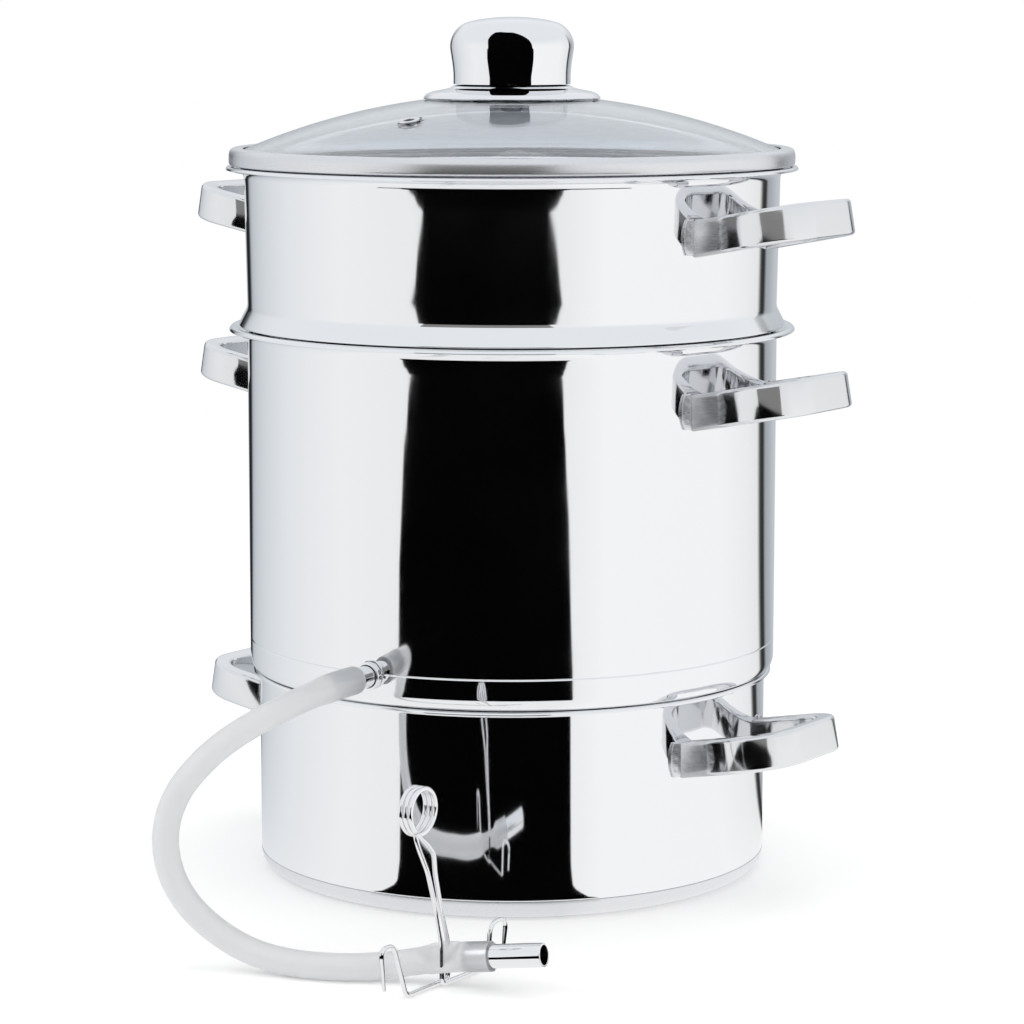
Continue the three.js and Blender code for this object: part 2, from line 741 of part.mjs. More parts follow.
// Hose: a tube with a bore, stretched over both pipes and squeezed flat at the clamp
const route = hoseRoute.map((p) => new THREE.Vector3(...p));
const hoseCurve = new THREE.CatmullRomCurve3(route, false, "centripetal");
const hoseLength = hoseCurve.getLength();
const pinchPoint = route[pinchIndex];
const pinchFine = 400;
const pinchShare = Array.from({ length: pinchFine + 1 }, (_, i) => i / pinchFine)
  .reduce((best, u) => {
    const reached = hoseCurve.getPointAt(u).distanceTo(pinchPoint);
    const nearer = reached < hoseCurve.getPointAt(best).distanceTo(pinchPoint);
    return nearer ? u : best;
  }, 0);
const pinchPlace = pinchShare * hoseLength;

function blendShare(value) {
  const t = THREE.MathUtils.clamp(value, 0, 1);
  return t * t * (3 - 2 * t);
}

function hoseSizes(place) {
  const chordShare = 1 / Math.cos(Math.PI / hoseSides);
  const onSpigot = 1 - blendShare((place - spigotSleeve - sleeveSpare) / hoseOuter);
  const onNozzle = 1 - blendShare((hoseLength - nozzleSleeve - sleeveSpare - place) / hoseOuter);
  const pinched = 1 - blendShare((Math.abs(place - pinchPlace) - 2 * wire) / pinchReach);
  const spigotBoreSize = (spigotOuter + 2 * fitGap) * chordShare;
  const nozzleBoreSize = (nozzleOuter + 2 * fitGap) * chordShare;
  let bore = THREE.MathUtils.lerp(hoseBore, spigotBoreSize, onSpigot);
  bore = THREE.MathUtils.lerp(bore, nozzleBoreSize, onNozzle);
  let outer = THREE.MathUtils.lerp(hoseOuter, spigotBoreSize + 2 * hoseStretchWall, onSpigot);
  outer = THREE.MathUtils.lerp(outer, nozzleBoreSize + 2 * hoseStretchWall, onNozzle);
  return {
    across: THREE.MathUtils.lerp(outer, pinchThickness, pinched),
    tall: THREE.MathUtils.lerp(outer, pinchHeight, pinched),
    boreAcross: THREE.MathUtils.lerp(bore, pinchBore, pinched),
    boreTall: THREE.MathUtils.lerp(bore, pinchBoreHeight, pinched),
  };
}

function hoseStations() {
  const count = Math.round(hoseLength / hoseStep);
  const even = Array.from({ length: count + 1 }, (_, i) => (hoseLength * i) / count);
  const exact = [
    spigotSleeve + sleeveSpare, pinchPlace - 2 * wire, pinchPlace, pinchPlace + 2 * wire,
    hoseLength - nozzleSleeve - sleeveSpare,
  ];
  const apart = even.filter((place) => exact.every((p) => Math.abs(p - place) > 2 * wire));
  return [...apart, ...exact].sort((a, b) => b - a);
}

const stations = hoseStations();
const hosePath = stations.map((place) => hoseCurve.getPointAt(Math.min(place / hoseLength, 1)));
const levelSide = new THREE.Vector3(0, 1, 0);
const hoseFrames = carriedFrames(hosePath, levelSide);
const hoseOutside = hoseFrames.map((frame, i) => {
  const size = hoseSizes(stations[i]);
  return loop(frame, oval(size.across, size.tall, hoseSides));
});
const hoseInside = hoseFrames.map((frame, i) => {
  const size = hoseSizes(stations[i]);
  return loop(frame, oval(size.boreAcross, size.boreTall, hoseSides));
});
add(juicer, "juice_hose", loftedTube(hoseOutside, hoseInside), milkySilicone);

// Nozzle: a short steel pipe in the hose's far end
const nozzleDirection = hoseCurve.getTangentAt(1);
const nozzleStart = route[route.length - 1].clone().addScaledVector(nozzleDirection, -nozzleSleeve);
const nozzleRadius = nozzleOuter / 2;
const nozzleProfile = [
  at(nozzleRadius - nozzleWall, 0),
  at(nozzleRadius, 0),
  at(nozzleRadius, nozzleLength - nozzleWall / 2),
  at(nozzleRadius - nozzleWall / 2, nozzleLength),
  at(nozzleRadius - nozzleWall, nozzleLength),
];
const nozzle = turned(nozzleProfile, smallSides)
  .applyQuaternion(new THREE.Quaternion().setFromUnitVectors(upward, nozzleDirection))
  .translate(...nozzleStart.toArray());
add(juicer, "hose_nozzle", nozzle, mirrorSteel);

// Pinch clamp: each wire is drawn in its own plane, as points (along the hose, in front of it, up)
const clampOrigin = new THREE.Vector3(pinchPoint.x + clampShift, pinchPoint.y, 0);
const inClamp = ([along, front, up]) => new THREE.Vector3(along, -front, up).add(clampOrigin);
const coilRadius = coilMean / 2;

function roundedPath(points, radius) {
  const path = [points[0]];
  for (let i = 1; i + 1 < points.length; i += 1) {
    const [before, here, after] = [points[i - 1], points[i], points[i + 1]];
    const back = before.clone().sub(here);
    const ahead = after.clone().sub(here);
    const trim = Math.min(radius, back.length() * bendShare, ahead.length() * bendShare);
    const from = here.clone().addScaledVector(back.normalize(), trim);
    const to = here.clone().addScaledVector(ahead.normalize(), trim);
    const bend = new THREE.QuadraticBezierCurve3(from, here, to);
    path.push(...bend.getPoints(bendSteps));
  }
  path.push(points[points.length - 1]);
  return path;
}

const coilSweep = 180 + 2 * coilLegAngle + 360 * coilTurns;
const coilLength = (coilPitch * coilSweep) / 360;

function coilPoint(angle) {
  const wound = (angle + coilLegAngle) / 360;
  return [
    coilShift + coilLength / 2 - coilPitch * wound,
    coilLean + coilRadius * Math.cos(angle * degrees),
    coilHeight + coilRadius * Math.sin(angle * degrees),
  ];
}

// Where the middle of the two arms is, in front of the hose, at a height
const pinchTop = pinchPoint.z + pinchHeight / 2;
const armFront = (up) => (coilLean * (up - pinchTop)) / (coilHeight - pinchTop);

// One leg from the coil to its hook: way is 1 for the leg that ends in front, -1 for the other
function clampLeg(way) {
  const angle = way > 0 ? -coilLegAngle : -coilLegAngle + coilSweep;
  const [along, front, up] = coilPoint(angle);
  const run = legSwing + (way > 0 ? coilRadius / 2 : 0);
  const crossed = [
    along,
    front - way * run * Math.sin(coilLegAngle * degrees),
    up - run * Math.cos(coilLegAngle * degrees),
  ];
  const armLength = crossed[2] - pinchTop;
  const armSide = -way * (barSpread / 2);
  const armPoint = (height, share) => [
    THREE.MathUtils.lerp(armSide, along, share),
    armFront(height) - (way * armSpread) / 2,
    height,
  ];
  const squeeze = (pinchThickness + wire) / 2 + pinchSlip;
  const arm = armHeightShares.map((share, i) => armPoint(pinchTop + armLength * share, armSideShares[i]));
  const bottom = wire / 2 + fitGap / 3;
  const hook = way > 0 ? frontHook : rearHook;
  const foot = way * hook.place;
  const top = foot + way * hook.lean;
  const last = top + way * hook.width;
  return [
    crossed,
    ...arm,
    [armSide, -way * squeeze, pinchTop - wire],
    [armSide, -way * squeeze, bottom],
    [armSide, foot, bottom],
    [armSide, top, hook.height],
    [armSide, last, hook.height],
    [armSide, last - way * hookEndTurn, hookEnd],
  ].map(inClamp);
}

function coilPoints() {
  const count = Math.round((coilSweep / 360) * coilStepsPerTurn);
  return Array.from({ length: count + 1 }, (_, i) => {
    const turn = -coilLegAngle + (coilSweep * i) / count;
    return inClamp(coilPoint(turn));
  });
}

function wireBody(path) {
  const frames = carriedFrames(path, new THREE.Vector3(...wireStart));
  return lofted(frames.map((frame) => loop(frame, oval(wire, wire, wireSides))));
}

// Least gap of a wound wire to itself, measured between points more than half a turn apart
function leastGap(points) {
  const apart = Math.round(coilStepsPerTurn / 2);
  let least = Infinity;
  points.forEach((p, i) => {
    points.slice(i + apart).forEach((q) => {
      least = Math.min(least, p.distanceTo(q) - wire);
    });
  });
  return least;
}

const coil = coilPoints();
const springLeg = roundedPath(clampLeg(-1), bendRadius);
const leverLeg = roundedPath(clampLeg(1), bendRadius);
const leverStart = coil[0].clone().lerp(leverLeg[0], clampOpening / coil[0].distanceTo(leverLeg[0]));
console.log(`clamp coil: least gap to itself ${leastGap(coil).toFixed(2)} mm`);
console.log(`hose: centreline ${hoseLength.toFixed(0)} mm`);
add(juicer, "clamp_spring", wireBody([...coil, ...springLeg]), springWire);
add(juicer, "clamp_lever", wireBody([leverStart, ...leverLeg]), springWire);

export default juicer;
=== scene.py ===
"""Steam juicer, dressed for a studio picture: steel vessels, glass lid, silicone hose and pinch clamp."""

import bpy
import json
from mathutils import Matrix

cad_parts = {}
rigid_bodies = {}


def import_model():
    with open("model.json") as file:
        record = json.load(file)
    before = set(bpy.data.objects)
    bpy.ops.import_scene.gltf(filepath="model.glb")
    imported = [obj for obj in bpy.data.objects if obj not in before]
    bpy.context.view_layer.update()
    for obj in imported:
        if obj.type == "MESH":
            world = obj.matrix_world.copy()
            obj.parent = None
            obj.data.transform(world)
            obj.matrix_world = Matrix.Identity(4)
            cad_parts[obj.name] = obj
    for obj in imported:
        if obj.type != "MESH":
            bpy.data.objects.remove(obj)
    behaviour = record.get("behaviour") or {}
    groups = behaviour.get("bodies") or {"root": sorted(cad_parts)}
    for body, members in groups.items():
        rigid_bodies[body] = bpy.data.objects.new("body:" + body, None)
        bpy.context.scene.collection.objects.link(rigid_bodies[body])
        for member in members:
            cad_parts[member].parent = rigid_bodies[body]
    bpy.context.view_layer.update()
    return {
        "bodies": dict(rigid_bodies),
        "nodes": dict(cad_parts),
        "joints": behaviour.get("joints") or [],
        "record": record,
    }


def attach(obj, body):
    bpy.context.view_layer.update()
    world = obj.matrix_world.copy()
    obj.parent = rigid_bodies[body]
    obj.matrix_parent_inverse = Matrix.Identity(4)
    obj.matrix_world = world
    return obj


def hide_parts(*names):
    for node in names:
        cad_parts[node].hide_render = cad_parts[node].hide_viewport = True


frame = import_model()

import json
from math import asin, cos, hypot, pi, radians, sin, sqrt

import bmesh
import bpy
from mathutils import Matrix, Vector

MM = 0.001
scene = bpy.context.scene

# Camera, fitted to the rings of the vessels
LENS = 121.3
CAMERA_TURN = 34
CAMERA_DISTANCE = 1.695
CAMERA_HEIGHT = 0.4211
CAMERA_DIP = 8.25

camera_data = bpy.data.cameras.new("studio camera")
camera_data.lens = LENS
camera = bpy.data.objects.new("studio camera", camera_data)
scene.collection.objects.link(camera)
camera_side = Vector((sin(radians(CAMERA_TURN)), -cos(radians(CAMERA_TURN)), 0))
camera.location = camera_side * CAMERA_DISTANCE + Vector((0, 0, CAMERA_HEIGHT))
camera.rotation_euler = (radians(90 - CAMERA_DIP), 0, radians(CAMERA_TURN))
scene.camera = camera


# Hose: its route from the spigot's seat to the nozzle, in metres
HOSE_ROUTE = [
    (0.0088, -0.1439, 0.1145), (0.0095, -0.1553, 0.1145), (0.0102, -0.1656, 0.1143),
    (0.0110, -0.1808, 0.1133), (0.0099, -0.2008, 0.1105), (0.0062, -0.2166, 0.1058),
    (0.0002, -0.2291, 0.0990), (-0.0061, -0.2393, 0.0898), (-0.0114, -0.2465, 0.0794),
    (-0.0146, -0.2505, 0.0684), (-0.0157, -0.2518, 0.0570), (-0.0144, -0.2512, 0.0456),
    (-0.0102, -0.2495, 0.0346), (-0.0024, -0.2465, 0.0242), (0.0097, -0.2426, 0.0150),
    (0.0244, -0.2392, 0.0090), (0.0430, -0.2353, 0.0064), (0.0608, -0.2298, 0.0062),
    (0.0752, -0.2218, 0.0068), (0.0894, -0.2134, 0.0088), (0.1036, -0.2073, 0.0119),
    (0.1114, -0.20595, 0.01295), (0.1190, -0.20465, 0.01395), (0.1266, -0.2033, 0.0150),
]


# Materials
def linear(hex_colour):
    """A colour written as sRGB hex, made linear."""
    values = [int(hex_colour[i:i + 2], 16) / 255 for i in (1, 3, 5)]
    return [v / 12.92 if v <= 0.04045 else ((v + 0.055) / 1.055) ** 2.4 for v in values] + [1]


def add_node(tree, kind, inputs=None, **settings):
    """A node with its settings, and its inputs linked or set."""
    new = tree.nodes.new(kind)
    for name, value in settings.items():
        setattr(new, name, value)
    for name, value in (inputs or {}).items():
        if isinstance(value, bpy.types.NodeSocket):
            tree.links.new(value, new.inputs[name])
        else:
            new.inputs[name].default_value = value
    return new


def computed(tree, operation, *values):
    """The result of one operation on values or sockets."""
    return add_node(tree, "ShaderNodeMath", dict(enumerate(values)), operation=operation).outputs["Value"]


def mixed(tree, share, first, second):
    """Two shaders mixed, with this share of the second."""
    return add_node(tree, "ShaderNodeMixShader", {"Fac": share, 1: first, 2: second}).outputs["Shader"]


def even_light(tree, colour):
    """A face that sends out only its own colour."""
    return add_node(tree, "ShaderNodeEmission", {"Color": colour, "Strength": 1}).outputs["Emission"]


def new_material(name, colour, **sockets):
    """A material with its principled shader and a place in the object's own space."""
    material = bpy.data.materials.new(name)
    material.use_nodes = True
    tree = material.node_tree
    shader = tree.nodes["Principled BSDF"]
    shader.inputs["Base Color"].default_value = linear(colour)
    for socket, value in sockets.items():
        shader.inputs[socket.replace("_", " ")].default_value = value
    place = add_node(tree, "ShaderNodeTexCoord").outputs["Object"]
    return material, tree, shader, place


# Where nearly all of a noise pattern's values lie
NOISE_LOW, NOISE_HIGH = 0.3, 0.7


def patches(tree, place, size_mm, detail, stretch):
    """Noise in patches of a size, drawn out where a share of stretch is small."""
    mapped = add_node(tree, "ShaderNodeMapping", {"Vector": place, "Scale": stretch})
    return add_node(tree, "ShaderNodeTexNoise", {
        "Vector": mapped.outputs["Vector"], "Scale": 1 / (size_mm * MM), "Detail": detail,
    }).outputs["Fac"]


def uneven_roughness(tree, shader, place, size_mm, low, high, stretch=(1, 1, 1)):
    """Roughness that drifts between two values over patches of a size."""
    spread = add_node(tree, "ShaderNodeMapRange", {
        "Value": patches(tree, place, size_mm, 3, stretch),
        "From Min": NOISE_LOW, "From Max": NOISE_HIGH, "To Min": low, "To Max": high,
    })
    tree.links.new(spread.outputs["Result"], shader.inputs["Roughness"])


def relief(tree, shader, place, size_mm, height_mm, detail, stretch=(1, 1, 1)):
    """A fine unevenness of the surface, of a size and a height."""
    bump = add_node(tree, "ShaderNodeBump", {
        "Height": patches(tree, place, size_mm, detail, stretch), "Strength": 1, "Distance": height_mm * MM,
    })
    tree.links.new(bump.outputs["Normal"], shader.inputs["Normal"])


def polished_stainless_steel():
    """18/10 sheet, drawn and buffed to a mirror: sharp reflections that wander a little, as sheet does."""
    material, tree, shader, place = new_material("polished stainless steel", "#ecedef", Metallic=1)
    uneven_roughness(tree, shader, place, 40, 0.035, 0.06)
    relief(tree, shader, place, 55, 0.02, detail=1)
    return material


def polished_steel_strap():
    """Bent handle strap, hand buffed: softer reflections than the drums and a slightly uneven face."""
    material, tree, shader, place = new_material("hand buffed steel strap", "#e2e3e5", Metallic=1)
    uneven_roughness(tree, shader, place, 14, 0.07, 0.16)
    relief(tree, shader, place, 16, 0.05, detail=2)
    return material


def satin_stainless_steel():
    """Sheet left with the satin of a fine belt, with rings of the lathe in it."""
    material, tree, shader, place = new_material("satin stainless steel", "#dfe0e3", Metallic=1)
    uneven_roughness(tree, shader, place, 2, 0.25, 0.31, stretch=(0.05, 0.05, 1))
    relief(tree, shader, place, 0.8, 0.002, detail=3, stretch=(0.04, 0.04, 1))
    return material


def bright_spring_wire():
    """Drawn and nickel-bright wire: dark and light streaks along a shiny round."""
    material, tree, shader, place = new_material("bright spring wire", "#ececee", Metallic=1)
    uneven_roughness(tree, shader, place, 3, 0.06, 0.12)
    relief(tree, shader, place, 1.5, 0.008, detail=3)
    return material


def rolled_aluminium():
    """Plain rolled aluminium disc, dull white and hidden in the base."""
    material, tree, shader, place = new_material("rolled aluminium", "#c6c8ca", Metallic=1)
    uneven_roughness(tree, shader, place, 6, 0.38, 0.5)
    return material


def tempered_glass():
    """Clear soda-lime lid glass with its faint cold tint."""
    material, tree, shader, place = new_material(
        "tempered glass", "#fafcff", Transmission_Weight=1, IOR=1.5, Metallic=0)
    uneven_roughness(tree, shader, place, 30, 0.0, 0.02)
    return material


# How far from a pipe's end the hose is clear and from where it is milky, and what it lets through there
CLEAR_REACH, MILKY_REACH = 11, 15
CLEAR_SHARE, MILKY_SHARE = 0.85, 0.42


def translucent_silicone():
    """Extruded silicone hose: milky with a soft shine, and clearer where it is stretched over a pipe."""
    material, tree, shader, place = new_material("translucent silicone", "#fbfcfd", IOR=1.41, Metallic=0)
    uneven_roughness(tree, shader, place, 25, 0.3, 0.36)
    from_spigot, from_nozzle = [
        add_node(tree, "ShaderNodeVectorMath", {0: place, 1: end}, operation="DISTANCE").outputs["Value"]
        for end in (HOSE_ROUTE[1], HOSE_ROUTE[-1])
    ]
    clearness = add_node(tree, "ShaderNodeMapRange", {
        "Value": computed(tree, "MINIMUM", from_spigot, from_nozzle),
        "From Min": CLEAR_REACH * MM, "From Max": MILKY_REACH * MM,
        "To Min": CLEAR_SHARE, "To Max": MILKY_SHARE,
    })
    tree.links.new(clearness.outputs["Result"], shader.inputs["Transmission Weight"])
    return material


def white_silicone():
    """Moulded seal of opaque white silicone, matt."""
    material, tree, shader, place = new_material("white silicone", "#dfe1e3", Metallic=0)
    uneven_roughness(tree, shader, place, 4, 0.45, 0.6)
    return material


mirror_steel = polished_stainless_steel()
strap_steel = polished_steel_strap()
satin_steel = satin_stainless_steel()
spring_wire = bright_spring_wire()
core_aluminium = rolled_aluminium()
lid_glass = tempered_glass()
hose_silicone = translucent_silicone()
seal_silicone = white_silicone()


# Shapes: two points closer than this, in metres, are one
ONE_POINT = 1e-6
# The most of a side that a rounded corner takes, and how far a sheet's cut end swells, as shares
CORNER_SHARE, CUT_END_SHARE = 0.49, 0.3


def on_axis(points):
    return [point for point in points if point.co.x < ONE_POINT / 10]


def finished(bm, name, material, sharp=30):
    """A piece from its mesh, shaded smooth but for its sharp edges."""
    for face in bm.faces:
        face.smooth = True
    for edge in bm.edges:
        edge.smooth = edge.calc_face_angle(0) < radians(sharp)
    mesh = bpy.data.meshes.new(name)
    bm.to_mesh(mesh)
    bm.free()
    mesh.materials.append(material)
    piece = bpy.data.objects.new(name.replace(" ", "_"), mesh)
    scene.collection.objects.link(piece)
    return piece


def bend(start, corner, end, steps):
    """Points from a start to an end, drawn towards the corner between them."""
    shares = [k / steps for k in range(steps + 1)]
    return [start * (1 - t) ** 2 + corner * (2 * t * (1 - t)) + end * t ** 2 for t in shares]


def rounded(corners, steps=6):
    """A line through corners (x, y), where a corner with a third number is rounded by that length."""
    line = []
    for i, corner in enumerate(corners):
        here = Vector(corner[:2])
        if len(corner) < 3 or i in (0, len(corners) - 1):
            line.append(here)
            continue
        back = Vector(corners[i - 1][:2]) - here
        ahead = Vector(corners[i + 1][:2]) - here
        start = here + back.normalized() * min(corner[2], back.length * CORNER_SHARE)
        end = here + ahead.normalized() * min(corner[2], ahead.length * CORNER_SHARE)
        line += bend(start, here, end, steps)
    return line


def arc(x, y, radius_x, radius_y, start, end, steps):
    angles = [radians(start + (end - start) * k / steps) for k in range(steps + 1)]
    return [Vector((x + radius_x * cos(a), y + radius_y * sin(a))) for a in angles]


def beside(line, distance):
    """The line that runs to the left of an open line at one distance."""
    normals = []
    for start, end in zip(line, line[1:]):
        along = (end - start).normalized()
        normals.append(Vector((-along.y, along.x)))
    before = [normals[0]] + normals
    after = normals + [normals[-1]]
    return [
        point + (a + b) * (2 * distance / (a + b).length_squared)
        for point, a, b in zip(line, before, after)
    ]


def sheet(line, wall):
    """A closed profile: the line and its other side, with rounded cut ends."""
    other = beside(line, wall)
    end_out = (line[-1] - line[-2]).normalized() * wall * CUT_END_SHARE
    start_out = (line[0] - line[1]).normalized() * wall * CUT_END_SHARE
    end_middle = (line[-1] + other[-1]) / 2 + end_out
    start_middle = (line[0] + other[0]) / 2 + start_out
    return line + [end_middle] + other[::-1] + [start_middle]


def flared_lip(radius, top, reach, drop, curl):
    """The outside of a wall from under its drawn lip to the lip's edge, which curls down."""
    under = top - STEEL_WALL
    flare = arc(radius + reach - curl, under - drop, curl - reach, drop, 0, 90, 12)
    return flare + arc(radius + reach - curl, under - curl, curl, curl, 70, 0, 5)


def turned(name, profile, material, sides=160, place=None):
    """A body of revolution about Z from its profile in millimetres, then put in place."""
    bm = bmesh.new()
    points = [bm.verts.new((x * MM, 0, y * MM)) for x, y in profile]
    pairs = list(zip(points, points[1:] + points[:1]))
    edges = [bm.edges.new(pair) for pair in pairs if len(on_axis(pair)) < 2]
    bmesh.ops.spin(bm, geom=points + edges, cent=(0, 0, 0), axis=(0, 0, 1), angle=2 * pi,
                   steps=sides, use_merge=True)
    bmesh.ops.remove_doubles(bm, verts=bm.verts, dist=ONE_POINT)
    bmesh.ops.recalc_face_normals(bm, faces=bm.faces)
    if place:
        bmesh.ops.transform(bm, matrix=place, verts=bm.verts)
    return finished(bm, name, material)


def standing(direction, point_mm):
    """Puts a piece made about Z along a direction, with its foot on a point."""
    turn = Vector((0, 0, 1)).rotation_difference(direction).to_matrix().to_4x4()
    return Matrix.Translation(Vector(point_mm) * MM) @ turn


def cut_away(piece, cutter):
    """Takes the cutter's volume out of a piece."""
    modifier = piece.modifiers.new("cut", "BOOLEAN")
    modifier.operation = "DIFFERENCE"
    modifier.solver = "EXACT"
    modifier.object = cutter
    cut = piece.evaluated_get(bpy.context.evaluated_depsgraph_get())
    mesh = bpy.data.meshes.new_from_object(cut)
    piece.modifiers.clear()
    old = piece.data
    piece.data = mesh
    mesh.name = old.name
    bpy.data.meshes.remove(old)
    bpy.data.meshes.remove(cutter.data)


def rod(radius, low, high, place=None, sides=64):
    """A plain round cutter."""
    profile = [(0, low), (radius, low), (radius, high), (0, high)]
    return turned("cutter", profile, mirror_steel, sides, place)


def pipe_profile(bore, outside, length, foot, end, bore_end, steps=4):
    """A pipe's closed profile with three rounded edges; its last point only keeps the bore straight."""
    corners = [(bore, 0), (outside, 0, foot), (outside, length, end), (bore, length, bore_end), (bore, 1)]
    return rounded(corners, steps)


def dress(piece, body, slot, *nodes):
    """Sets a piece on its body and in the place of its CAD nodes, which it hides; the slot is not used."""
    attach(piece, body)
    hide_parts(*nodes)
    return piece


# Sizes that the vessels share, in millimetres
FIT_GAP = 0.3
STEEL_WALL = 0.8
POT_RADIUS, POT_HEIGHT = 125.5, 100.1
CAP_HEIGHT, CAP_SIDE = 8.8, 9.5
POT_FLOOR = 6.5
KETTLE_RADIUS, KETTLE_HEIGHT, KETTLE_BASE = 130, 168.8, 100.4
SEAM_HEIGHT = 15
BASKET_RADIUS, BASKET_TOP_RADIUS, BASKET_HEIGHT, BASKET_BASE = 129.8, 131, 77.5, 269.5
LID_BASE, LID_RADIUS = 347.3, 138.2
SPIGOT_TURN, SPIGOT_HEIGHT, SPIGOT_OUTER = 3.5, 114.5, 10.5
SPIGOT_INSIDE, SPIGOT_LENGTH, SPIGOT_WALL = 12, 48, 1
CUT_OVERRUN = 5

# Hose, which its clamp pinches at one point of the route
PINCH_INDEX = 20
HOSE_OUTER, HOSE_BORE, STRETCHED_WALL = 12, 8, 1.1
ROUTE_PIECES, RING_STEP, HOSE_SIDES = 24, 4, 32
SPIGOT_SLEEVE, NOZZLE_SLEEVE, SLEEVE_SPARE = 22, 11, 1
PINCH_HEIGHT, PINCH_THICKNESS, PINCH_REACH = 16.2, 4, 7.2
PINCH_BORE_HEIGHT, PINCH_BORE = 12.2, 0.5
NOZZLE_OUTER, NOZZLE_WALL, NOZZLE_LENGTH = 10.6, 0.9, 36
WIRE = 2.1


def smooth_route(route):
    """A centripetal curve through the route, in equal pieces from point to point."""
    points = [Vector(p) for p in route]
    points = [2 * points[0] - points[1]] + points + [2 * points[-1] - points[-2]]
    curve = []
    for p0, p1, p2, p3 in zip(points, points[1:], points[2:], points[3:]):
        d0, d1, d2 = sqrt((p1 - p0).length), sqrt((p2 - p1).length), sqrt((p3 - p2).length)
        t1 = ((p1 - p0) / d0 - (p2 - p0) / (d0 + d1) + (p2 - p1) / d1) * d1
        t2 = ((p2 - p1) / d1 - (p3 - p1) / (d1 + d2) + (p3 - p2) / d2) * d1
        for k in range(ROUTE_PIECES):
            t = k / ROUTE_PIECES
            swing = (2 * p1 - 2 * p2 + t1 + t2) * t ** 3 + (3 * p2 - 3 * p1 - 2 * t1 - t2) * t ** 2
            curve.append(swing + t1 * t + p1)
    return curve + [points[-2]]


def lengths_along(points):
    total = [0]
    for before, after in zip(points, points[1:]):
        total.append(total[-1] + (after - before).length)
    return total


def carried_frames(path, first_side):
    """Each point with a side and a rise square to the path, carried along without twist."""
    last = len(path) - 1
    ways = [(path[min(i + 1, last)] - path[max(i - 1, 0)]).normalized() for i in range(len(path))]
    side = (first_side - ways[0] * first_side.dot(ways[0])).normalized()
    frames = []
    for i, (point, way) in enumerate(zip(path, ways)):
        if i:
            side = ways[i - 1].rotation_difference(way) @ side
        frames.append((point, side.copy(), way.cross(side)))
    return frames


def ring_across(bm, frame, width, height, sides):
    """A ring square to a path at one of its frames, sized in millimetres, as a list of edges."""
    point, side, rise = frame
    turn = Matrix((side, rise, side.cross(rise))).transposed().to_4x4()
    spread = Matrix.Diagonal((width / 2 * MM, height / 2 * MM, 1, 1))
    ring = bmesh.ops.create_circle(
        bm, segments=sides, radius=1, matrix=Matrix.Translation(point) @ turn @ spread)["verts"]
    return list(dict.fromkeys(edge for vert in ring for edge in vert.link_edges))


def bridged(bm, loops):
    for before, after in zip(loops, loops[1:]):
        bmesh.ops.bridge_loops(bm, edges=before + after)


def even_blend(value):
    t = min(max(value, 0), 1)
    return t * t * (3 - 2 * t)


curve = smooth_route(HOSE_ROUTE)
places = [length / MM for length in lengths_along(curve)]
hose_length = places[-1]
pinch_place = places[PINCH_INDEX * ROUTE_PIECES]


def hose_sizes(place):
    """Outside and bore at a place along the hose, each across and up: wide on a pipe, flat in the clamp."""
    on_spigot = 1 - even_blend((place - SPIGOT_SLEEVE - SLEEVE_SPARE) / HOSE_OUTER)
    on_nozzle = 1 - even_blend((hose_length - NOZZLE_SLEEVE - SLEEVE_SPARE - place) / HOSE_OUTER)
    pinched = 1 - even_blend((abs(place - pinch_place) - 2 * WIRE) / PINCH_REACH)
    bore, outer = HOSE_BORE, HOSE_OUTER
    for share, pipe in ((on_spigot, SPIGOT_OUTER), (on_nozzle, NOZZLE_OUTER)):
        bore += (pipe + 2 * FIT_GAP - bore) * share
        outer += (pipe + 2 * FIT_GAP + 2 * STRETCHED_WALL - outer) * share
    return (
        outer + (PINCH_THICKNESS - outer) * pinched, outer + (PINCH_HEIGHT - outer) * pinched,
        bore + (PINCH_BORE - bore) * pinched, bore + (PINCH_BORE_HEIGHT - bore) * pinched,
    )


def drawn_hose():
    """The hose as one closed wall: rings outside from end to end and back inside, all bridged."""
    stations = [*range(0, len(curve) - 1, RING_STEP), len(curve) - 1]
    frames = carried_frames(curve, Vector((0, 1, 0)))
    bm = bmesh.new()
    outside = [ring_across(bm, frames[i], *hose_sizes(places[i])[:2], HOSE_SIDES) for i in stations]
    inside = [ring_across(bm, frames[i], *hose_sizes(places[i])[2:], HOSE_SIDES) for i in stations[::-1]]
    bridged(bm, outside + inside + outside[:1])
    bmesh.ops.recalc_face_normals(bm, faces=bm.faces)
    return finished(bm, "hose", hose_silicone, 50)


hose = dress(drawn_hose(), "juice_kettle", "milky_silicone", "juice_hose")

# Nozzle in the hose's far end
nozzle_way = (curve[-1] - curve[-2]).normalized()
nozzle_foot = curve[-1] / MM - nozzle_way * NOZZLE_SLEEVE
nozzle_bore = NOZZLE_OUTER / 2 - NOZZLE_WALL
nozzle_profile = pipe_profile(nozzle_bore, NOZZLE_OUTER / 2, NOZZLE_LENGTH, foot=0.3, end=0.3, bore_end=0.2)
nozzle = turned("nozzle", nozzle_profile, mirror_steel, 64, standing(nozzle_way, nozzle_foot))
dress(nozzle, "juice_kettle", "mirror_steel", "hose_nozzle")

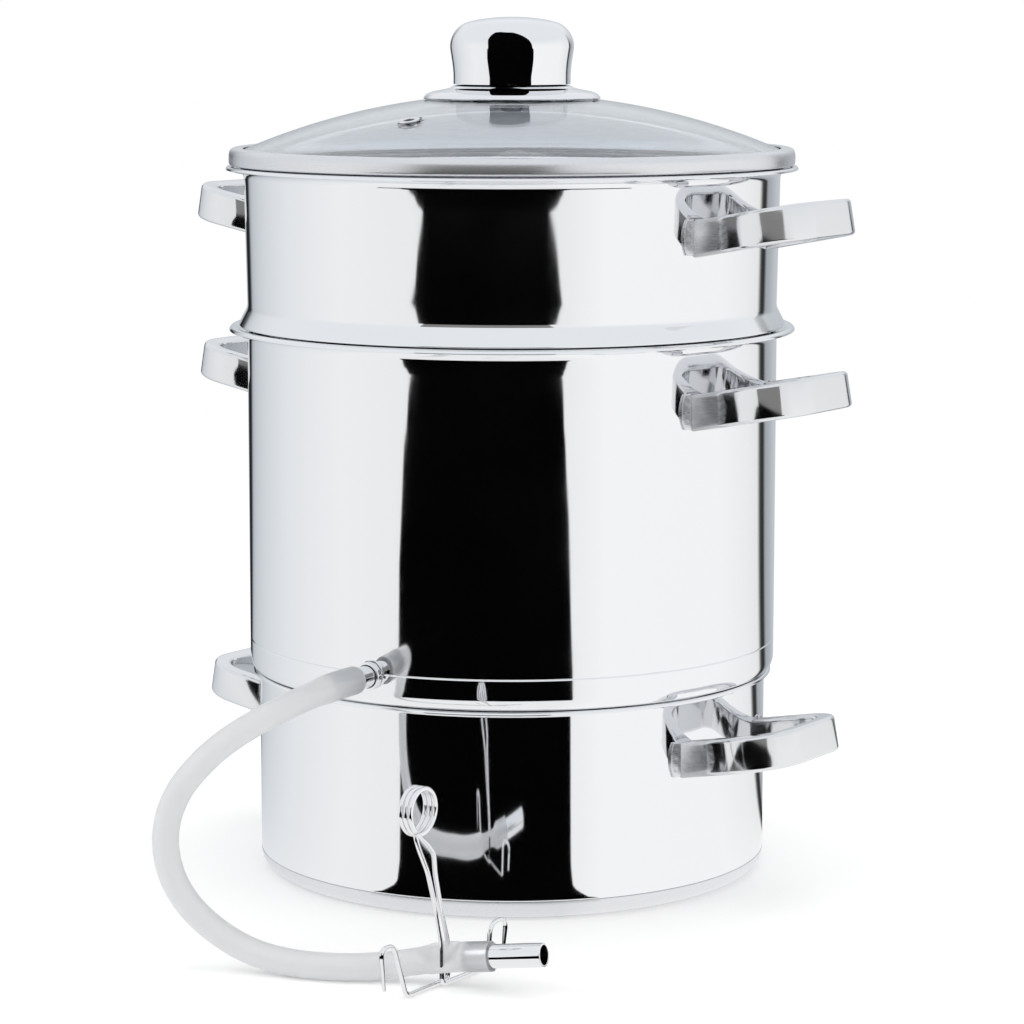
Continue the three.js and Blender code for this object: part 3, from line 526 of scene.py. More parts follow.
# Pinch clamp: bent wire, in points along the hose, in front of it and up
COIL_MEAN, COIL_PITCH, COIL_TURNS, COIL_LEG_ANGLE = 20.2, 2.6, 2, 50
COIL_HEIGHT, COIL_LEAN, COIL_SHIFT, CLAMP_SHIFT = 80.6, 17.5, -1.5, 0.8
ARM_SPREAD, BAR_SPREAD, BEND_RADIUS, PINCH_SLIP = 3.2, 2.4, 2.6, 0.9
FRONT_HOOK = {"place": 27.5, "lean": 9, "width": 9, "height": 25.6}
REAR_HOOK = {"place": 31.5, "lean": 2, "width": 12.5, "height": 20}
HOOK_END, HOOK_END_TURN, HOOK_BEND_RADIUS, HOOK_CORNERS = 7, 2, 5, 2
LEG_SWING = 5.2
# Three points of each arm, as shares of its height and of its swing to the side
ARM_SHARES = [(0.88, 0.8), (0.66, 0.4), (0.3, 0.28)]
# A side of the wire's path is at least this many times what a bend takes of it
SIDE_PER_BEND = 2.2
WIRE_SIDES, WIRE_END_SHARE = 14, 0.7
COIL_RADIUS = COIL_MEAN / 2
COIL_SWEEP = 180 + 2 * COIL_LEG_ANGLE + 360 * COIL_TURNS
COIL_STEPS = 140
pinch_point = Vector(HOSE_ROUTE[PINCH_INDEX]) / MM
pinch_top = pinch_point.z + PINCH_HEIGHT / 2


def in_clamp(along, front, up):
    return Vector((pinch_point.x + CLAMP_SHIFT + along, pinch_point.y - front, up))


def coil_point(angle):
    along = COIL_SHIFT + COIL_PITCH * (COIL_SWEEP / 720 - (angle + COIL_LEG_ANGLE) / 360)
    front = COIL_LEAN + COIL_RADIUS * cos(radians(angle))
    return (along, front, COIL_HEIGHT + COIL_RADIUS * sin(radians(angle)))


def clamp_leg(way):
    """A leg from the coil past the hose to its hook; 1 is the leg that ends in front."""
    along, front, up = coil_point(-COIL_LEG_ANGLE if way > 0 else COIL_SWEEP - COIL_LEG_ANGLE)
    run = LEG_SWING + (COIL_RADIUS / 2 if way > 0 else 0)
    crossed_up = up - run * cos(radians(COIL_LEG_ANGLE))
    arm_side = -way * BAR_SPREAD / 2
    points = [(along, front - way * run * sin(radians(COIL_LEG_ANGLE)), crossed_up)]
    for height_share, side_share in ARM_SHARES:
        height = pinch_top + (crossed_up - pinch_top) * height_share
        middle = COIL_LEAN * (height - pinch_top) / (COIL_HEIGHT - pinch_top)
        points.append((arm_side + (along - arm_side) * side_share, middle - way * ARM_SPREAD / 2, height))
    squeeze = (PINCH_THICKNESS + WIRE) / 2 + PINCH_SLIP
    bottom = WIRE / 2 + FIT_GAP / 3
    hook = FRONT_HOOK if way > 0 else REAR_HOOK
    foot = way * hook["place"]
    top = foot + way * hook["lean"]
    last = top + way * hook["width"]
    points += [
        (arm_side, -way * squeeze, pinch_top - WIRE), (arm_side, -way * squeeze, bottom),
        (arm_side, foot, bottom), (arm_side, top, hook["height"]), (arm_side, last, hook["height"]),
        (arm_side, last - way * HOOK_END_TURN, HOOK_END),
    ]
    return [in_clamp(*point) for point in points]


def rounded_path(points, steps=8):
    """A wire's path with its corners bent, the two on top of its hook in a wider bend."""
    path = [points[0]]
    for i, (before, here, after) in enumerate(zip(points, points[1:], points[2:])):
        back, ahead = before - here, after - here
        radius = HOOK_BEND_RADIUS if i >= len(points) - 2 - HOOK_CORNERS else BEND_RADIUS
        trim = min(radius, back.length / SIDE_PER_BEND, ahead.length / SIDE_PER_BEND)
        path += bend(here + back.normalized() * trim, here, here + ahead.normalized() * trim, steps)
    return path + [points[-1]]


def bent_wire(name, path):
    """A round wire along a path in millimetres, a little narrower at both ends."""
    bm = bmesh.new()
    frames = carried_frames([point * MM for point in path], Vector((1, 0, 0.2)))
    widths = [WIRE * WIRE_END_SHARE] + [WIRE] * (len(path) - 2) + [WIRE * WIRE_END_SHARE]
    loops = [ring_across(bm, frame, width, width, WIRE_SIDES) for frame, width in zip(frames, widths)]
    bridged(bm, loops)
    for end in (loops[0], loops[-1]):
        bmesh.ops.contextual_create(bm, geom=end)
    bmesh.ops.recalc_face_normals(bm, faces=bm.faces)
    return finished(bm, name, spring_wire, 60)


coil = [in_clamp(*coil_point(COIL_SWEEP * k / COIL_STEPS - COIL_LEG_ANGLE)) for k in range(COIL_STEPS + 1)]
lever_leg = rounded_path(clamp_leg(1))
lever_start = coil[0].lerp(lever_leg[0], FIT_GAP / (coil[0] - lever_leg[0]).length)
clamp_coil = bent_wire("clamp coil and rear hook", coil + rounded_path(clamp_leg(-1)))
dress(clamp_coil, "juice_kettle", "spring_wire", "clamp_spring")
clamp_arm = bent_wire("clamp arm and front hook", [lever_start] + lever_leg)
dress(clamp_arm, "pinch_lever", "spring_wire", "clamp_lever")

# Water pot
cap_line = [Vector((0, 0))] + arc(POT_RADIUS - CAP_SIDE, CAP_HEIGHT, CAP_SIDE, CAP_HEIGHT, -90, 0, 16)
base_cap = turned("base cap", sheet(cap_line, STEEL_WALL), satin_steel)
dress(base_cap, "water_pot", "satin_steel", "base_cap")

# A long wall has one or two more rings near each bend, which keep its mirroring true
POT_TUCK, POT_FOOT_RING, POT_WALL_RING = 1.5, 1.8, 8
pot_line = rounded([
    (0, POT_FLOOR), (POT_RADIUS - POT_TUCK, POT_FLOOR, 1.6), (POT_RADIUS - POT_TUCK, CAP_HEIGHT + FIT_GAP),
    (POT_RADIUS, CAP_HEIGHT + FIT_GAP, 0.7), (POT_RADIUS, CAP_HEIGHT + POT_FOOT_RING),
    (POT_RADIUS, CAP_HEIGHT + POT_WALL_RING),
]) + flared_lip(POT_RADIUS, POT_HEIGHT, reach=2.4, drop=2.4, curl=0.9)
pot_shell = turned("pot shell", sheet(pot_line, STEEL_WALL), mirror_steel)
dress(pot_shell, "water_pot", "mirror_steel", "base_pot_shell")

# Juice kettle
spigot_way = Vector((sin(radians(SPIGOT_TURN)), -cos(radians(SPIGOT_TURN)), 0))


def at_spigot(distance):
    return standing(spigot_way, spigot_way * distance + Vector((0, 0, SPIGOT_HEIGHT)))


def spigot_hole():
    start = KETTLE_RADIUS - SPIGOT_INSIDE
    return rod(SPIGOT_OUTER / 2 + FIT_GAP, -CUT_OVERRUN, SPIGOT_LENGTH, at_spigot(start))


SEAM_ROUND, KETTLE_FOOT_RING, KETTLE_WALL_RING, KETTLE_LIP_RING = 0.3, 0.5, 6.5, 13
wall_foot = KETTLE_BASE + SEAM_HEIGHT + FIT_GAP / 2
kettle_top = KETTLE_BASE + KETTLE_HEIGHT
kettle_line = rounded([
    (KETTLE_RADIUS, wall_foot), (KETTLE_RADIUS, wall_foot + KETTLE_FOOT_RING),
    (KETTLE_RADIUS, wall_foot + KETTLE_WALL_RING), (KETTLE_RADIUS, kettle_top - KETTLE_LIP_RING),
]) + flared_lip(KETTLE_RADIUS, kettle_top, reach=8, drop=5.2, curl=1.2)
kettle_profile = sheet(kettle_line, STEEL_WALL)
kettle_profile[0] += Vector((0, SEAM_ROUND))
kettle_wall = turned("kettle wall", kettle_profile, mirror_steel)
cut_away(kettle_wall, spigot_hole())
dress(kettle_wall, "juice_kettle", "mirror_steel", "kettle_wall")

# The dish drops into the pot, and its step sits on the pot's lip
HUB_RADIUS, HUB_RISE, DISH_DROP, DISH_RADIUS = 60, 2, 4, 123.2
STEP_RADIUS, STEP_ROUND, STEP_RISE, DISH_WALL_RING, DISH_SEAM_RING = 126.8, 3.2, 6, 8, 0.8
dish_bottom = KETTLE_BASE - DISH_DROP
dish_top = KETTLE_BASE + SEAM_HEIGHT
dish_heights = (KETTLE_BASE + DISH_WALL_RING, dish_top - DISH_SEAM_RING, dish_top - FIT_GAP / 2)
floor_line = rounded([
    (HUB_RADIUS, KETTLE_BASE + HUB_RISE), (HUB_RADIUS, dish_bottom, 1.6), (DISH_RADIUS, dish_bottom, 1.6),
    (DISH_RADIUS, KETTLE_BASE, 0.9), (STEP_RADIUS, KETTLE_BASE),
])
floor_line += arc(STEP_RADIUS, KETTLE_BASE + STEP_RISE, STEP_ROUND, STEP_RISE, -88, 0, 8)
floor_line += [Vector((KETTLE_RADIUS, height)) for height in dish_heights]
floor_profile = sheet(floor_line, STEEL_WALL)
floor_profile[len(floor_line) - 1] -= Vector((0, SEAM_ROUND))
kettle_floor = turned("kettle floor dish", floor_profile, mirror_steel)
cut_away(kettle_floor, spigot_hole())
dress(kettle_floor, "juice_kettle", "mirror_steel", "kettle_floor")

CONE_MOUTH, CONE_FOOT, CONE_HEIGHT, CONE_SHOULDER, CONE_TURN, CONE_DROP = 28, 61.1, 84, 76, 4, 1.6
cone_line = rounded([
    (CONE_MOUTH, KETTLE_BASE + CONE_HEIGHT), (CONE_MOUTH, KETTLE_BASE + CONE_SHOULDER, 4),
    (CONE_FOOT, KETTLE_BASE + CONE_TURN, 3), (CONE_FOOT, KETTLE_BASE - CONE_DROP),
])
steam_cone = turned("steam cone", sheet(cone_line, STEEL_WALL), satin_steel, 96)
dress(steam_cone, "juice_kettle", "satin_steel", "steam_cone")

spigot_bore = SPIGOT_OUTER / 2 - SPIGOT_WALL
spigot_profile = pipe_profile(spigot_bore, SPIGOT_OUTER / 2, SPIGOT_LENGTH, foot=0.3, end=0.5, bore_end=0.3)
spigot = turned("outlet spigot", spigot_profile, mirror_steel, 64, at_spigot(KETTLE_RADIUS - SPIGOT_INSIDE))
dress(spigot, "juice_kettle", "mirror_steel", "outlet_spigot")

COLLAR_BORE, COLLAR_RADIUS, COLLAR_LENGTH = 5.55, 6.6, 3.4
collar_profile = pipe_profile(
    COLLAR_BORE, COLLAR_RADIUS, COLLAR_LENGTH, foot=0.6, end=0.9, bore_end=0.2, steps=5)
collar = turned("spigot collar", collar_profile, mirror_steel, 64, at_spigot(KETTLE_RADIUS + FIT_GAP))
dress(collar, "juice_kettle", "mirror_steel", "spigot_collar")

# Fruit basket: its upper wall, whose bead sits on the kettle's lip, and the colander below
FLANGE_INNER, COLANDER_RADIUS, COLANDER_DEPTH = 119.3, 127.3, 76
BEAD_RADIUS, BEAD_HEIGHT, BEAD_FOOT, BEAD_TURN = 134.5, 9, 1.6, 0.3
BASKET_FOOT_RING, BASKET_LIP_RING, BASKET_RING_LEAN = 20, 16, 0.2
colander_line = rounded([
    (FLANGE_INNER, BASKET_BASE - COLANDER_DEPTH), (COLANDER_RADIUS, BASKET_BASE - COLANDER_DEPTH, 1.8),
    (COLANDER_RADIUS, BASKET_BASE - BEAD_FOOT - FIT_GAP),
])
colander = turned("colander wall", sheet(colander_line, STEEL_WALL), satin_steel)
dress(colander, "fruit_basket", "satin_steel", "colander_wall")

basket_top = BASKET_BASE + BASKET_HEIGHT
basket_line = rounded([
    (COLANDER_RADIUS, BASKET_BASE - BEAD_FOOT), (COLANDER_RADIUS + BEAD_FOOT, BASKET_BASE - BEAD_TURN, 1),
    (BEAD_RADIUS, BASKET_BASE, 1.2), (BASKET_RADIUS, BASKET_BASE + BEAD_HEIGHT, 1.6),
    (BASKET_RADIUS + BASKET_RING_LEAN, BASKET_BASE + BASKET_FOOT_RING),
    (BASKET_TOP_RADIUS - BASKET_RING_LEAN, basket_top - BASKET_LIP_RING),
]) + flared_lip(BASKET_TOP_RADIUS, basket_top, reach=8, drop=5.2, curl=0.9)
basket_wall = turned("basket wall", sheet(basket_line, STEEL_WALL), mirror_steel)
dress(basket_wall, "fruit_basket", "mirror_steel", "basket_wall")

SIEVE_RADIUS, SIEVE_HOLE, SIEVE_HOLE_SIDES, SIEVE_SPACING, SIEVE_THICKNESS = 125.3, 5, 12, 10.5, 1
SIEVE_BOTTOM = BASKET_BASE - COLANDER_DEPTH + STEEL_WALL + FIT_GAP


def punched_floor():
    """A round plate with rings of punched holes, six more in each ring."""
    bm = bmesh.new()
    bmesh.ops.create_circle(bm, segments=160, radius=SIEVE_RADIUS * MM)
    for ring in range(int((SIEVE_RADIUS - SIEVE_HOLE) / SIEVE_SPACING) + 1):
        count = max(1, 6 * ring)
        for k in range(count):
            centre = Matrix.Rotation(2 * pi * k / count, 4, "Z") @ Vector((ring * SIEVE_SPACING * MM, 0, 0))
            bmesh.ops.create_circle(
                bm, segments=SIEVE_HOLE_SIDES, radius=SIEVE_HOLE / 2 * MM, matrix=Matrix.Translation(centre))
    bmesh.ops.triangle_fill(bm, use_beauty=True, use_dissolve=False, edges=bm.edges[:], normal=(0, 0, 1))
    bmesh.ops.translate(bm, vec=(0, 0, SIEVE_BOTTOM * MM), verts=bm.verts)
    drawn = bmesh.ops.extrude_face_region(bm, geom=bm.faces[:], use_keep_orig=True)["geom"]
    top = [v for v in drawn if isinstance(v, bmesh.types.BMVert)]
    bmesh.ops.translate(bm, vec=(0, 0, SIEVE_THICKNESS * MM), verts=top)
    bmesh.ops.recalc_face_normals(bm, faces=bm.faces)
    return finished(bm, "sieve floor", satin_steel)


dress(punched_floor(), "fruit_basket", "satin_steel", "sieve_floor")

# Lid: a rim whose skirt hangs in the basket, and the glass in it
SKIRT_RADIUS, SKIRT_DROP, RIM_HEIGHT, RIM_LIP, RIM_LIP_HEIGHT = 129.2, 5, 8.5, 6.6, 8.3
rim_line = rounded([
    (SKIRT_RADIUS, LID_BASE - SKIRT_DROP), (SKIRT_RADIUS, LID_BASE, 1.4), (LID_RADIUS, LID_BASE, 1.8),
    (LID_RADIUS, LID_BASE + RIM_HEIGHT, 6), (LID_RADIUS - RIM_LIP, LID_BASE + RIM_LIP_HEIGHT),
])
lid_rim = turned("lid rim", sheet(rim_line, STEEL_WALL), satin_steel, 192)
dress(lid_rim, "glass_lid", "satin_steel", "lid_rim")

GLASS_RADIUS, GLASS_THICKNESS, GLASS_EDGE, SCREW_HOLE = 333.5, 4, 135.4, 2.6
GLASS_DEPTH = sqrt((GLASS_RADIUS - GLASS_THICKNESS) ** 2 - GLASS_EDGE ** 2)
GLASS_CENTRE = LID_BASE + STEEL_WALL + FIT_GAP - GLASS_DEPTH
VENT_PLACE, VENT_BORE, VENT_TUBE, VENT_FLANGE, VENT_FLANGE_THICKNESS = 86, 5, 7.8, 10.4, 0.7
VENT_ROUND, VENT_EDGE, VENT_TURN = 0.5, 0.3, 1


def glass_height(radius, sphere=GLASS_RADIUS):
    return GLASS_CENTRE + sqrt(sphere ** 2 - radius ** 2)


def dome_line(sphere, start, end, steps=28):
    radii = [start + (end - start) * k / steps for k in range(steps + 1)]
    return [Vector((radius, glass_height(radius, sphere))) for radius in radii]


vent_way = Matrix.Rotation(asin(VENT_PLACE / GLASS_RADIUS), 4, "X") @ Vector((0, 0, 1))
vent_stand = standing(vent_way, (0, -VENT_PLACE, glass_height(VENT_PLACE)))
glass_top = dome_line(GLASS_RADIUS, SCREW_HOLE, GLASS_EDGE)
glass_underside = dome_line(GLASS_RADIUS - GLASS_THICKNESS, GLASS_EDGE, SCREW_HOLE)
dome = turned("lid glass", glass_top + glass_underside, lid_glass, 192)
cut_away(dome, rod(VENT_TUBE / 2 + FIT_GAP, -2 * GLASS_THICKNESS, CUT_OVERRUN, vent_stand, 48))
dress(dome, "glass_lid", "clear_glass", "lid_glass")

grommet_foot = -GLASS_THICKNESS - FIT_GAP - VENT_FLANGE_THICKNESS
grommet_head = FIT_GAP + VENT_FLANGE_THICKNESS
grommet_profile = rounded([
    (VENT_BORE / 2, grommet_foot + VENT_TURN), (VENT_BORE / 2, grommet_foot, VENT_ROUND),
    (VENT_FLANGE / 2, grommet_foot, VENT_EDGE),
    (VENT_FLANGE / 2, grommet_foot + VENT_FLANGE_THICKNESS, VENT_EDGE),
    (VENT_TUBE / 2, grommet_foot + VENT_FLANGE_THICKNESS), (VENT_TUBE / 2, FIT_GAP),
    (VENT_FLANGE / 2, FIT_GAP, VENT_EDGE), (VENT_FLANGE / 2, grommet_head, VENT_EDGE),
    (VENT_BORE / 2, grommet_head, VENT_ROUND), (VENT_BORE / 2, grommet_head - VENT_TURN),
], steps=4)
grommet = turned("vent grommet", grommet_profile, satin_steel, 48, vent_stand)
dress(grommet, "glass_lid", "satin_steel", "vent_grommet")

# Knob on its flared foot, which stands on the seal
SEAL_HEIGHT, FOOT_WALL, FOOT_RADIUS = 2.9, 1, 42.5
SEAL_BOTTOM = GLASS_CENTRE + GLASS_RADIUS + FIT_GAP
FOOT_PLATE = SEAL_BOTTOM + SEAL_HEIGHT + FIT_GAP
KNOB_BOTTOM = FOOT_PLATE + FOOT_WALL + FIT_GAP
KNOB_HEIGHT, KNOB_RADIUS, KNOB_WAIST, KNOB_WAIST_HEIGHT = 32.4, 30.2, 28.6, 7
KNOB_SHOULDER, KNOB_CROWN, CROWN_EDGE_SHARE, CROWN_STEPS = 12.3, 2, 0.83, 8
KNOB_TOP = KNOB_BOTTOM + KNOB_HEIGHT
# The foot falls from its plate in corners, each by its place beyond the waist or inside the foot's edge
foot_line = rounded([
    (SCREW_HOLE, FOOT_PLATE), (KNOB_WAIST - 1, FOOT_PLATE, 1.5), (KNOB_WAIST + 1.3, FOOT_PLATE - 1.6, 1.8),
    (FOOT_RADIUS - 7, FOOT_PLATE - 2.7, 4), (FOOT_RADIUS - 1.6, FOOT_PLATE - 3.9, 2.8),
    (FOOT_RADIUS, glass_height(FOOT_RADIUS) + FIT_GAP),
])
knob_foot = turned("knob foot", sheet(foot_line, FOOT_WALL), mirror_steel, 96)
dress(knob_foot, "glass_lid", "mirror_steel", "knob_foot")

shoulder = KNOB_TOP - KNOB_SHOULDER - KNOB_CROWN
crown_edge = KNOB_RADIUS - KNOB_SHOULDER * CROWN_EDGE_SHARE
crown_shares = [k / CROWN_STEPS for k in range(CROWN_STEPS - 1, -1, -1)]
knob_side = rounded([
    (KNOB_WAIST, KNOB_BOTTOM), (KNOB_WAIST, KNOB_BOTTOM + KNOB_WAIST_HEIGHT, 6),
    (KNOB_RADIUS, shoulder - 1, 5), (KNOB_RADIUS, shoulder),
], steps=8)
knob_shoulder = arc(KNOB_RADIUS - KNOB_SHOULDER, shoulder, KNOB_SHOULDER, KNOB_SHOULDER, 4, 80, 16)
knob_crown = [Vector((crown_edge * t, KNOB_TOP - KNOB_CROWN * t ** 2)) for t in crown_shares]
CROWN_WALL, HOLLOW_TOP_RADIUS, HOLLOW_RADIUS, HOLLOW_SHOULDER = 8, 20, 25, 14
knob_inside = [
    Vector((0, KNOB_TOP - CROWN_WALL)), Vector((HOLLOW_TOP_RADIUS, KNOB_TOP - CROWN_WALL)),
    Vector((HOLLOW_RADIUS, KNOB_TOP - HOLLOW_SHOULDER)), Vector((HOLLOW_RADIUS, KNOB_BOTTOM)),
]
lid_knob = turned("knob", knob_side + knob_shoulder + knob_crown + knob_inside, mirror_steel, 128)
dress(lid_knob, "glass_lid", "mirror_steel", "lid_knob")

# Loop handles and their weld tabs
HANDLE_REACH, HANDLE_HALF_WIDTH, HANDLE_CORNER = 48, 36.2, 22
STRAP_HEIGHT, STRAP_THICKNESS, STRAP_ROUND, HANDLE_TILT = 17, 8.5, 1.9, 10.5
HANDLE_ROOT, HANDLE_CLEARANCE = 9, 0.1
TAB_WIDTH, TAB_THICKNESS, TAB_GAP, TAB_HEIGHT, TAB_BULGE = 6.2, 1.2, 0.4, 16.6, 2
TAB_CORNER, TAB_EDGE_ROUND = 1, 0.3
WELD_SPOTS, WELD_DENT, WELD_FLAT, WELD_SLOPE = (-4.6, 0, 4.6), 0.1, 0.2, 1.5


def draw_on(bm, edges, vec):
    """Extrudes a ring of edges and moves the new ring on."""
    drawn = bmesh.ops.extrude_edge_only(bm, edges=edges)["geom"]
    verts = [v for v in drawn if isinstance(v, bmesh.types.BMVert)]
    bmesh.ops.translate(bm, vec=Vector(vec) * MM, verts=verts)
    return verts, [e for e in drawn if isinstance(e, bmesh.types.BMEdge) and set(e.verts) <= set(verts)]


def loop_handle(name, wall_radius, height, side):
    """Half a U, drawn, spun round its corner and drawn on into the wall, then mirrored, tilted and cut."""
    spin_radius = HANDLE_CORNER - STRAP_THICKNESS / 2
    middle = wall_radius + (HANDLE_REACH - STRAP_THICKNESS / 2) / cos(radians(HANDLE_TILT)) - spin_radius
    straight = HANDLE_HALF_WIDTH - STRAP_THICKNESS / 2 - spin_radius
    foot = sqrt(wall_radius ** 2 - HANDLE_HALF_WIDTH ** 2) - HANDLE_ROOT
    bm = bmesh.new()
    bmesh.ops.create_grid(bm, x_segments=1, y_segments=1, size=0.5)
    bmesh.ops.scale(bm, vec=(STRAP_THICKNESS * MM, STRAP_HEIGHT * MM, 1), verts=bm.verts)
    bmesh.ops.bevel(bm, geom=bm.verts[:], offset=STRAP_ROUND * MM, offset_type="OFFSET", segments=6,
                    profile=0.5, affect="VERTICES", material=-1)
    bmesh.ops.delete(bm, geom=bm.faces[:], context="FACES_ONLY")
    bmesh.ops.rotate(bm, cent=(0, 0, 0), matrix=Matrix.Rotation(pi / 2, 3, "X"), verts=bm.verts)
    bmesh.ops.translate(bm, vec=((middle + spin_radius) * MM, 0, 0), verts=bm.verts)
    verts, edges = draw_on(bm, bm.edges[:], (0, straight, 0))
    spun = bmesh.ops.spin(bm, geom=verts + edges, cent=(middle * MM, straight * MM, 0), axis=(0, 0, 1),
                          angle=pi / 2, steps=16)["geom_last"]
    corner_end = [e for e in spun if isinstance(e, bmesh.types.BMEdge)]
    verts, edges = draw_on(bm, corner_end, (foot - middle, 0, 0))
    bmesh.ops.contextual_create(bm, geom=edges)
    bmesh.ops.mirror(bm, geom=bm.verts[:] + bm.edges[:] + bm.faces[:], axis="Y", merge_dist=ONE_POINT)
    bmesh.ops.remove_doubles(bm, verts=bm.verts, dist=ONE_POINT)
    bmesh.ops.recalc_face_normals(bm, faces=bm.faces)
    place = Matrix.Rotation(0 if side > 0 else pi, 4, "Z")
    place = place @ Matrix.Translation((wall_radius * MM, 0, height * MM))
    place = place @ Matrix.Rotation(-radians(HANDLE_TILT), 4, "Y")
    place = place @ Matrix.Translation((-wall_radius * MM, 0, 0))
    bmesh.ops.transform(bm, matrix=place, verts=bm.verts)
    handle = finished(bm, name, strap_steel, 40)
    low, high = height - 2 * STRAP_HEIGHT, height + 2 * STRAP_HEIGHT
    cut_away(handle, rod(wall_radius + HANDLE_CLEARANCE, low, high, sides=256))
    return handle


def weld_tab(name, wall_radius, height, side, end):
    """A flat tab with three spot welds pressed in, bent round the wall and given its thickness."""
    bm = bmesh.new()
    bmesh.ops.create_grid(bm, x_segments=20, y_segments=40, size=0.5)
    bmesh.ops.scale(bm, vec=(TAB_WIDTH, TAB_HEIGHT, 1), verts=bm.verts)
    outer = wall_radius + FIT_GAP / 3
    start = asin((HANDLE_HALF_WIDTH + TAB_GAP) / wall_radius) + TAB_WIDTH / 2 / wall_radius
    for vert in bm.verts:
        x, y = vert.co.x, vert.co.y
        x -= TAB_BULGE * (2 * y / TAB_HEIGHT) ** 2 * (x / TAB_WIDTH + 0.5)
        past_x = max(0, abs(x) - TAB_WIDTH / 2 + TAB_CORNER)
        past_y = max(0, abs(y) - TAB_HEIGHT / 2 + TAB_CORNER)
        beyond = hypot(past_x, past_y) - TAB_CORNER
        if beyond > 0:
            shrink = 1 - beyond / hypot(x, y)
            x, y = x * shrink, y * shrink
        weld = min(hypot(x, y - spot) for spot in WELD_SPOTS)
        dent = WELD_DENT * (1 - even_blend((weld - WELD_FLAT) / WELD_SLOPE))
        angle = end * (start + x / wall_radius)
        radius = (outer + TAB_THICKNESS - dent) * MM
        vert.co = Vector((side * radius * cos(angle), side * radius * sin(angle), (height + y) * MM))
    drawn = bmesh.ops.extrude_face_region(bm, geom=bm.faces[:], use_keep_orig=True)["geom"]
    for vert in (v for v in drawn if isinstance(v, bmesh.types.BMVert)):
        vert.co.xy = vert.co.xy.normalized() * outer * MM
    bmesh.ops.recalc_face_normals(bm, faces=bm.faces)
    rim = [e for e in bm.edges if e.calc_face_angle(0) > radians(60)]
    bmesh.ops.bevel(bm, geom=rim, offset=TAB_EDGE_ROUND * MM, offset_type="OFFSET", segments=2, profile=0.5,
                    affect="EDGES", material=-1)
    return finished(bm, name, satin_steel, 50)


# Heights of the handles above each vessel's base, and of the basket's above the foot of its leaning wall
POT_HANDLE, KETTLE_HANDLE, BASKET_HANDLE = 71.5, 136.6, 48.5
HANDLE_RISE, LEANING_HEIGHT = 40, 69
basket_handle_radius = BASKET_RADIUS + (BASKET_TOP_RADIUS - BASKET_RADIUS) * HANDLE_RISE / LEANING_HEIGHT
VESSEL_HANDLES = [
    ("pot", "water_pot", POT_RADIUS, POT_HANDLE),
    ("kettle", "juice_kettle", KETTLE_RADIUS, KETTLE_BASE + KETTLE_HANDLE),
    ("basket", "fruit_basket", basket_handle_radius, BASKET_BASE + BASKET_HANDLE),
]
for vessel, body, wall_radius, height in VESSEL_HANDLES:
    for hand, side in (("right", 1), ("left", -1)):
        handle = loop_handle(f"{vessel} loop {hand}", wall_radius, height, side)
        dress(handle, body, "mirror_steel", f"{vessel}_handle_{hand}")
        for end_name, end in (("front", -1), ("back", 1)):
            tab = weld_tab(f"{vessel} weld {hand} {end_name}", wall_radius, height, side, end * side)
            dress(tab, body, "mirror_steel", f"{vessel}_tab_{hand}_{end_name}")

# CAD nodes that stay as they are get their finish
for name, material in (
    ("base_core_disc", core_aluminium), ("knob_seal", seal_silicone),
    ("knob_washer", satin_steel), ("knob_screw", satin_steel),
):
    mesh = frame["nodes"][name].data
    mesh.materials.clear()
    mesh.materials.append(material)


# Stage: pale floor, white surroundings and the dark cards that polished steel mirrors, in metres
# The floor card shows only on lines that fall less than this sine, as on the drums
DRUM_SLOPE = 0.34
# The high card shows only on lines from the knob's side above the lid
HIGH_CARD_DISTANCE, KNOB_REACH, LID_TOP = 0.35, 0.03, 0.37


def card_colour(name, colour, steepest=None, seen_above=None):
    """A card of even colour, which may be clear to steep lines or to lines that start below a height."""
    material = bpy.data.materials.new(name)
    material.use_nodes = True
    tree = material.node_tree
    tree.nodes.clear()
    face = even_light(tree, linear(colour))
    geometry = add_node(tree, "ShaderNodeNewGeometry").outputs
    fall = add_node(tree, "ShaderNodeSeparateXYZ", {"Vector": geometry["Incoming"]}).outputs["Z"]
    shown = None
    if steepest:
        shown = computed(tree, "LESS_THAN", fall, steepest)
    if seen_above:
        run = computed(tree, "SQRT", computed(tree, "SUBTRACT", 1, computed(tree, "MULTIPLY", fall, fall)))
        slope = computed(tree, "DIVIDE", fall, run)
        height = add_node(tree, "ShaderNodeSeparateXYZ", {"Vector": geometry["Position"]}).outputs["Z"]
        start = computed(tree, "MULTIPLY_ADD", slope, HIGH_CARD_DISTANCE - KNOB_REACH, height)
        shown = computed(tree, "GREATER_THAN", start, seen_above)
    if shown is not None:
        clear = add_node(tree, "ShaderNodeBsdfTransparent").outputs["BSDF"]
        face = mixed(tree, shown, clear, face)
    add_node(tree, "ShaderNodeOutputMaterial", {"Surface": face})
    return material


black_card = card_colour("black card", "#030303")
grey_card = card_colour("grey card", "#8c8b8a")
drum_black_card = card_colour("black card seen at a glancing angle", "#030303", steepest=DRUM_SLOPE)
knob_black_card = card_colour("black card seen from above the lid", "#030303", seen_above=LID_TOP)

